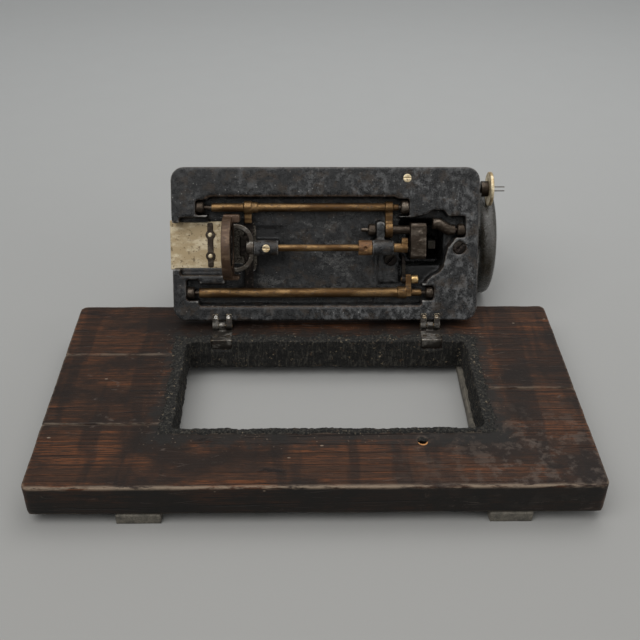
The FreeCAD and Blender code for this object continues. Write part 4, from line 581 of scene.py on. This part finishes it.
@dataclass(frozen=True)
class OldMetal:
    """Bare metal with a patina, dried oil and spots of rust, and painted shade in its creases."""

    name: str
    clean: Colour
    film: Colour
    spot: Colour = (0.030, 0.016, 0.009)
    edge: Colour = (0.35, 0.31, 0.25)
    cover: float = 0.6
    metal: float = 0.9
    roughness: float = 0.36
    rubbing: float = 0.35
    where: Place = Place.MACHINE
    scale: float = 1.0
    stretch: float = 0.45

    def material(self, machine: Machine) -> bpy.types.Material:
        """Build the shader.

        Args:
            machine: Where the machine stands.

        Returns:
            The material.
        """
        g = Graph(self.name, machine)
        at = g.place(self.where)
        film = g.speckle(g.stretch(at, (self.stretch, 1.0, 1.0)), 9.0 * self.scale, 4.0, 0.62)
        fine = g.speckle(g.stretch(at, (self.stretch * 1.5, 1.0, 1.0)), 1.5 * self.scale, 4.0, 0.65)
        spots = g.speckle(g.stretch(at, (1, 1, 1), move=(9, 3, 5)), 3.0 * self.scale, 5.0, 0.7)
        full = 0.62 - 0.3 * self.cover
        colour = g.mix(film.step(full - 0.07, full + 0.08), self.clean, self.film)
        colour = g.mix(fine.step(0.48, 0.60) * 0.45, colour, self.film)
        dirt = spots.step(0.56, 0.63)
        colour = g.mix(dirt * 0.75, colour, self.spot)
        rubbed = g.convex(0.53, 0.60) * fine.step(0.62, 0.40)
        colour = g.mix(rubbed * self.rubbing, colour, self.edge)
        # Painted shade: creases are darkened towards black.
        crease_shade = g.convex(0.47, 0.40)
        colour = g.mix(crease_shade * 0.7, colour, (0.006, 0.004, 0.003))
        metallic = (1.0 - dirt * 0.7) * self.metal
        rough = self.roughness + film * 0.16 + dirt * 0.25 - rubbed * 0.08
        return g.finish(Base_Color=colour, Roughness=rough, Metallic=metallic,
                        Normal=g.bump(fine * 0.5 + spots * 0.5, 0.3, 0.6))


FINISHES: dict[str, Any] = {
    "wood": StainedWood(),
    "raw": RawWood(),
    "felt": MattedFelt(),
    "japan": JapannedIron(),
    "arm_japan": JapannedIron("arm_japan", wear=0.3, roughness=0.2, gloss=0.5),
    "wheel": JapannedIron("wheel_enamel", black=(0.020, 0.017, 0.011), rubbed=(0.045, 0.038, 0.025),
                          wear=0.3, roughness=0.08, gloss=0.75),
    # Painted shade for the inside of the pillar.
    "soot": BlackHole(),
    "amber": OldMetal("amber_steel", (0.175, 0.106, 0.046), (0.070, 0.037, 0.014), cover=0.45,
                      roughness=0.40, stretch=0.2),
    "dark": OldMetal("dark_steel", (0.105, 0.086, 0.068), (0.034, 0.025, 0.018)),
    "brown": OldMetal("brown_iron", (0.100, 0.062, 0.036), (0.050, 0.026, 0.013), metal=0.5,
                      roughness=0.42, rubbing=0.5),
    "ochre": OldMetal("oiled_collar", (0.25, 0.140, 0.060), (0.095, 0.046, 0.019), cover=0.5,
                      metal=0.7, roughness=0.42),
    "bow": OldMetal("driver_steel", (0.13, 0.12, 0.105), (0.048, 0.040, 0.032), edge=(0.62, 0.60, 0.56),
                    rubbing=0.9, roughness=0.34),
    "steel": OldMetal("bright_steel", (0.60, 0.58, 0.54), (0.28, 0.22, 0.15), cover=0.35,
                      roughness=0.28),
    "plate": OldMetal("pale_plate", (0.50, 0.42, 0.285), (0.33, 0.25, 0.14), (0.09, 0.06, 0.03),
                      edge=(0.6, 0.55, 0.42), cover=0.45, metal=0.25, roughness=0.44, scale=1.5),
    "under": OldMetal("plate_underside", (0.045, 0.040, 0.034), (0.014, 0.011, 0.009)),
    "soiled": OldMetal("soiled_steel", (0.030, 0.025, 0.020), (0.009, 0.007, 0.006), rubbing=0.15),
    "brass": OldMetal("old_brass", (0.60, 0.43, 0.20), (0.25, 0.14, 0.05), cover=0.45, roughness=0.3),
    "gold": OldMetal("bright_brass", (0.86, 0.72, 0.44), (0.50, 0.34, 0.14), cover=0.2,
                     roughness=0.26, edge=(0.9, 0.85, 0.7)),
    "cream": OldMetal("cream_pulley", (0.64, 0.54, 0.36), (0.34, 0.25, 0.13), cover=0.3, metal=0.6,
                      roughness=0.34),
    "hinge": OldMetal("hinge_iron", (0.150, 0.140, 0.125), (0.028, 0.024, 0.020), metal=0.7,
                      edge=(0.5, 0.42, 0.28), rubbing=0.7, where=Place.BOARD),
}

NODE_FINISH: dict[str, str] = {
    "front_plank": "wood", "rear_plank": "wood", "left_inset_plank": "wood", "battens": "raw",
    "wood_screws": "dark", "opening_lining": "felt", "hinge_leaves": "hinge", "hinge_pins": "brass",
    "hinge_fingers": "hinge", "hinge_set_screws": "steel", "bed_casting": "japan",
    "arm_casting": "arm_japan", "arm_bolts": "soiled", "bed_screws": "cream", "pivot_screws": "dark",
    "pivot_nuts": "dark", "shuttle_race": "brown", "cover_screws": "dark", "shuttle": "soiled",
    "bobbin": "dark", "shuttle_driver": "bow", "shuttle_shaft": "amber",
    "shaft_collar": "ochre", "front_rocking_shaft": "amber", "rear_rocking_shaft": "amber",
    "fork_roller": "brass", "feed_bar": "soiled", "feed_dog": "dark", "feed_connection": "soiled",
    "rock_shaft": "dark", "slide_plate": "plate", "spring_strip": "dark", "strip_screws": "cream",
    "needle_plate": "under", "face_plate": "steel", "take_up_pin": "steel",
    "take_up_lever": "steel", "needle_bar": "steel", "needle_clamp": "steel", "needle": "steel",
    "presser_bar": "steel", "presser_foot": "steel", "foot_screw": "steel", "lifter_lever": "steel",
    "tension_post": "steel", "tension_discs": "steel", "tension_nut": "steel",
    "spool_pin": "steel", "thread_guides": "steel", "stitch_regulator": "brass",
    "arm_shaft": "soiled", "needle_link": "dark", "pillar_rod": "soiled", "handwheel": "wheel",
    "clutch_knob": "steel", "clutch_screw": "steel", "winder_bracket": "arm_japan",
    "winder_frame": "arm_japan", "winder_pulley": "cream", "winder_spindle": "dark",
}


# Pieces


@dataclass
class Studio:
    """Camera, floor, backdrop and lamps."""

    machine: Machine
    eye_x: float = -0.0126
    eye_ahead: float = 0.6364
    eye_above: float = 0.6601
    pitch: float = 35.62
    yaw: float = 1.25
    roll: float = 0.57
    focal_pixels: float = 911.0
    frame_pixels: float = 640.0
    floor_colour: Colour = (0.208, 0.205, 0.196)

    def camera(self) -> None:
        """Stand the camera where the photograph was taken from."""
        pitch, yaw, roll = (math.radians(value) for value in (self.pitch, self.yaw, self.roll))
        ahead = Vector((math.sin(yaw) * math.cos(pitch), math.cos(yaw) * math.cos(pitch), -math.sin(pitch)))
        right = Vector((math.cos(yaw), -math.sin(yaw), 0.0))
        up = right.cross(ahead)
        across = math.cos(roll) * right + math.sin(roll) * up
        over = math.cos(roll) * up - math.sin(roll) * right
        data = bpy.data.cameras.new("photo_camera")
        data.sensor_width = 36.0
        data.lens = self.focal_pixels / self.frame_pixels * data.sensor_width
        data.clip_end = 50.0
        camera = bpy.data.objects.new("photo_camera", data)
        turn = Matrix((across, over, -ahead)).transposed().to_4x4()
        eye = (self.eye_x, self.machine.board_front - self.eye_ahead,
               self.machine.board_top + self.eye_above)
        camera.matrix_world = Matrix.Translation(eye) @ turn
        bpy.context.collection.objects.link(camera)
        bpy.context.scene.camera = camera

    def floor(self) -> None:
        """Lay the floor, a flat plane."""
        bpy.ops.object.select_all(action="DESELECT")
        bpy.ops.mesh.primitive_plane_add(size=1.0, location=(0, 0, 0))
        sweep = bpy.context.object
        sweep.name = "floor"
        bpy.ops.object.mode_set(mode="EDIT")
        bpy.ops.mesh.select_all(action="SELECT")
        bpy.ops.transform.resize(value=(9.0, 9.0, 1.0))
        bpy.ops.object.mode_set(mode="OBJECT")
        g = Graph("floor_paper", self.machine)
        at = g.place(Place.BOARD)
        weave = g.speckle(at, 60.0, 2.0)
        _, y, _ = g.axes(at)
        # Painted light: the floor is painted lighter from front to back.
        colour = g.mix(y.step(-500.0, 1300.0), self.floor_colour, (0.335, 0.338, 0.335))
        colour = g.mix(weave * 0.08, colour, self.floor_colour)
        sweep.data.materials.append(g.finish(Base_Color=colour, Roughness=0.7))

    def lamps(self) -> None:
        """Hang the soft lamps and set the world."""
        world = bpy.data.worlds.new("studio")
        bpy.context.scene.world = world
        world.use_nodes = True
        backdrop = world.node_tree.nodes["Background"]
        backdrop.inputs["Color"].default_value = (0.42, 0.43, 0.43, 1.0)
        backdrop.inputs["Strength"].default_value = 1.0
        for name, place, aim, size, power in (
                ("key", (-0.7, -0.9, 1.9), (0.0, 0.0, 0.05), 1.5, 34.0),
                ("top", (0.5, 0.4, 2.0), (0.0, 0.0, 0.05), 1.6, 26.0),
                ("fill", (1.6, -1.0, 0.9), (0.0, 0.0, 0.1), 1.2, 9.0)):
            data = bpy.data.lights.new(name, "AREA")
            data.shape = "SQUARE"
            data.size = size
            data.energy = power
            lamp = bpy.data.objects.new(name, data)
            lamp.location = place
            lamp.rotation_euler = (Vector(aim) - Vector(place)).to_track_quat("-Z", "Y").to_euler()
            bpy.context.collection.objects.link(lamp)

    def build(self) -> None:
        """Set the whole stage."""
        self.camera()
        self.floor()
        self.lamps()
        bpy.context.scene.view_settings.view_transform = "Standard"


@dataclass(frozen=True)
class Wardrobe:
    """Makes each finish once and hands it out."""

    machine: Machine
    made: dict[str, bpy.types.Material] = field(default_factory=dict)

    def get(self, finish: str) -> bpy.types.Material:
        """The material of a finish, built when it is first asked for."""
        if finish not in self.made:
            self.made[finish] = FINISHES[finish].material(self.machine)
        return self.made[finish]


@dataclass(frozen=True)
class CarriedNodes:
    """The CAD nodes that show as they are, each with its finish."""

    nodes: Mapping[str, bpy.types.Object]

    def dress(self, wardrobe: Wardrobe) -> None:
        """Give every node its material.

        Args:
            wardrobe: Where the materials come from.
        """
        for name, node in self.nodes.items():
            for material_slot in node.material_slots:
                material_slot.link = "OBJECT"
                material_slot.material = wardrobe.get(NODE_FINISH[name])
        LOG.info("%d nodes dressed", len(self.nodes))


@dataclass(frozen=True)
class Recast:
    """A worn copy of a CAD node, its edges rounded by casting, planing and use."""

    node: str
    body: str
    slot: str
    voxel: float
    rounding: int = 2
    relief: float = 0.0
    lump: float = 8.0
    place: Place = Place.MACHINE

    def build(self, machine: Machine, nodes: Mapping[str, bpy.types.Object],
              wardrobe: Wardrobe) -> bpy.types.Object:
        """Copy, remesh, soften and dress the node.

        Args:
            machine: Where the machine stands.
            nodes: CAD nodes by name.
            wardrobe: Where the materials come from.

        Returns:
            The new piece.
        """
        mesh = nodes[self.node].data.copy()
        mesh.materials.clear()
        piece = bpy.data.objects.new("worn_" + self.node, mesh)
        bpy.context.collection.objects.link(piece)
        matrix = self.place.matrix(machine)
        mesh.transform(Matrix.Scale(MM, 4) @ matrix.inverted())
        self.select(piece)
        bpy.ops.object.mode_set(mode="EDIT")
        bpy.ops.mesh.select_all(action="SELECT")
        bpy.ops.mesh.remove_doubles(threshold=0.002 * MM)
        bpy.ops.object.mode_set(mode="OBJECT")
        bpy.ops.object.modifier_add(type="REMESH")
        remesh = piece.modifiers[-1]
        remesh.mode = "VOXEL"
        remesh.voxel_size = self.voxel * MM
        bpy.ops.object.modifier_apply(modifier=remesh.name)
        if self.rounding:
            bpy.ops.object.modifier_add(type="SMOOTH")
            smooth = piece.modifiers[-1]
            smooth.iterations = self.rounding
            bpy.ops.object.modifier_apply(modifier=smooth.name)
        piece.data.transform(Matrix.Scale(1 / MM, 4))
        self.weather(piece.data)
        piece.data.transform(matrix)
        bpy.ops.object.shade_smooth()
        piece.data.materials.append(wardrobe.get(NODE_FINISH[self.node]))
        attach(piece, self.body)
        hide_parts(self.node)
        LOG.info("%s recast with %d faces", self.node, len(piece.data.polygons))
        return piece

    def select(self, piece: bpy.types.Object) -> None:
        """Make one piece the only selected and active one."""
        bpy.ops.object.select_all(action="DESELECT")
        piece.select_set(True)
        bpy.context.view_layer.objects.active = piece

    def weather(self, mesh: bpy.types.Mesh) -> None:
        """Push the surface in and out by noise.

        Args:
            mesh: Mesh in this piece's own millimetres.
        """
        if not self.relief:
            return
        normals = [vertex.normal.copy() for vertex in mesh.vertices]
        for vertex, normal in zip(mesh.vertices, normals):
            at = vertex.co / self.lump
            lift = noise.noise(at) + 0.5 * noise.noise(at * 2.3 + Vector((7.1, 0, 0))) - 0.25
            vertex.co += normal * (self.relief * lift)


@dataclass(frozen=True)
class TornLining(Recast):
    """The felt in the opening, torn and matted along its band."""

    tear: float = 1.7
    lip: float = 14.0
    lip_top: float = 50.0

    def sunk(self, at: Vector, left: float, front: float, right: float, rear: float) -> float:
        """How far the lip dips under the wood's face, which leaves it a ragged edge.

        Args:
            at: Point in board millimetres.
            left: Left edge of the lip.
            front: Front edge of the lip.
            right: Right edge of the lip.
            rear: Rear edge of the lip.

        Returns:
            Depth in millimetres.
        """
        sides = max(left - at.x, at.x - right, at.y - rear) + self.lip
        ragged = noise.noise(at / 11.0) + 0.7 * noise.noise(at / 3.5)
        kept_sides, kept_front = 8.0 + 6.0 * ragged, 1.5 + 2.5 * ragged
        over = max(sides - kept_sides, front + self.lip - at.y - kept_front)
        return 2.6 * min(1.0, max(0.0, over))

    def weather(self, mesh: bpy.types.Mesh) -> None:
        """Pull the felt about sideways and roughen it.

        Args:
            mesh: Mesh in board millimetres.
        """
        super().weather(mesh)
        edges = [pick(vertex.co[axis] for vertex in mesh.vertices)
                 for pick in (min, max) for axis in (0, 1)]
        for vertex in mesh.vertices:
            if vertex.co.z > self.lip_top:
                vertex.co.z -= self.sunk(vertex.co, *edges)
            at = vertex.co / 15.0
            across = noise.noise_vector(at) + 0.45 * noise.noise_vector(at * 5.3)
            vertex.co += Vector((across.x, across.y, across.z * 0.25)) * self.tear


BOARD_CASTS: tuple[Recast, ...] = tuple(
    Recast(node, "board", slot, voxel, rounding, relief, lump, Place.BOARD)
    for node, slot, voxel, rounding, relief, lump in (
        ("front_plank", "board_wood", 2.2, 4, 0.45, 26.0),
        ("rear_plank", "board_wood", 2.2, 4, 0.45, 26.0),
        ("left_inset_plank", "board_wood", 2.2, 4, 0.45, 26.0),
        ("battens", "batten_wood", 2.4, 2, 0.3, 20.0),
        ("hinge_leaves", "hinge_iron", 0.8, 1, 0.0, 8.0),
        ("hinge_pins", "hinge_brass", 0.5, 1, 0.0, 8.0)))

MACHINE_CASTS: tuple[Recast, ...] = tuple(
    Recast(node, body, slot, voxel, rounding, relief, lump)
    for node, body, slot, voxel, rounding, relief, lump in (
        ("bed_casting", "machine", "japanned_iron", 1.6, 2, 0.22, 7.0),
        ("arm_casting", "machine", "japanned_iron", 1.9, 2, 0.2, 12.0),
        ("handwheel", "main_shaft", "wheel_black", 1.4, 2, 0.0, 8.0),
        ("hinge_fingers", "machine", "hinge_iron", 0.7, 2, 0.15, 4.0),
        ("hinge_set_screws", "machine", "bright_steel", 0.4, 1, 0.0, 8.0),
        ("bed_screws", "machine", "old_brass", 0.45, 1, 0.0, 8.0),
        ("arm_bolts", "machine", "dark_steel", 0.7, 2, 0.0, 8.0),
        ("pivot_nuts", "machine", "dark_steel", 0.55, 2, 0.12, 3.0),
        ("pivot_screws", "machine", "dark_steel", 0.6, 1, 0.0, 8.0),
        ("shuttle_race", "machine", "brown_iron", 0.8, 2, 0.15, 6.0),
        ("shuttle", "shuttle_drive", "oiled_steel", 0.7, 1, 0.0, 8.0),
        ("shuttle_driver", "shuttle_drive", "oiled_steel", 0.6, 2, 0.0, 8.0),
        ("shuttle_shaft", "shuttle_drive", "oiled_steel", 0.75, 1, 0.0, 8.0),
        ("shaft_collar", "shuttle_drive", "old_brass", 0.6, 2, 0.0, 8.0),
        ("front_rocking_shaft", "feed_lift", "oiled_steel", 0.8, 2, 0.0, 8.0),
        ("rear_rocking_shaft", "feed_rocker", "oiled_steel", 0.8, 2, 0.0, 8.0),
        ("fork_roller", "feed_rocker", "old_brass", 0.5, 2, 0.0, 8.0),
        ("feed_bar", "feed_carrier", "dark_steel", 0.8, 2, 0.0, 8.0),
        ("feed_connection", "feed_rod", "dark_steel", 0.6, 2, 0.0, 8.0),
        ("rock_shaft", "rocker", "dark_steel", 0.75, 4, 0.2, 7.0),
        ("slide_plate", "slide_cover", "pale_plate", 0.8, 1, 0.0, 8.0),
        ("spring_strip", "slide_cover", "brown_iron", 0.45, 1, 0.0, 8.0),
        ("winder_frame", "winder_swing", "japanned_iron", 0.9, 3, 0.0, 8.0),
        ("winder_bracket", "machine", "japanned_iron", 0.9, 2, 0.0, 8.0),
        ("winder_pulley", "winder_spin", "pale_pulley", 0.7, 2, 0.0, 8.0),
        ("winder_spindle", "winder_spin", "oiled_steel", 0.45, 1, 0.0, 8.0)))


def main() -> None:
    """Build the whole picture."""
    logging.basicConfig(level=logging.INFO, format="%(name)s: %(message)s")
    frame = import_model()
    nodes = frame["nodes"]
    machine = Machine.from_frame(frame)
    wardrobe = Wardrobe(machine)
    Studio(machine).build()
    CarriedNodes(nodes).dress(wardrobe)
    lining = TornLining("opening_lining", "board", "lining_felt", 1.4, 1, 0.7, 3.4, Place.BOARD)
    for cast in (lining, *BOARD_CASTS, *MACHINE_CASTS):
        cast.build(machine, nodes, wardrobe)


if __name__ == "__main__":
    main()
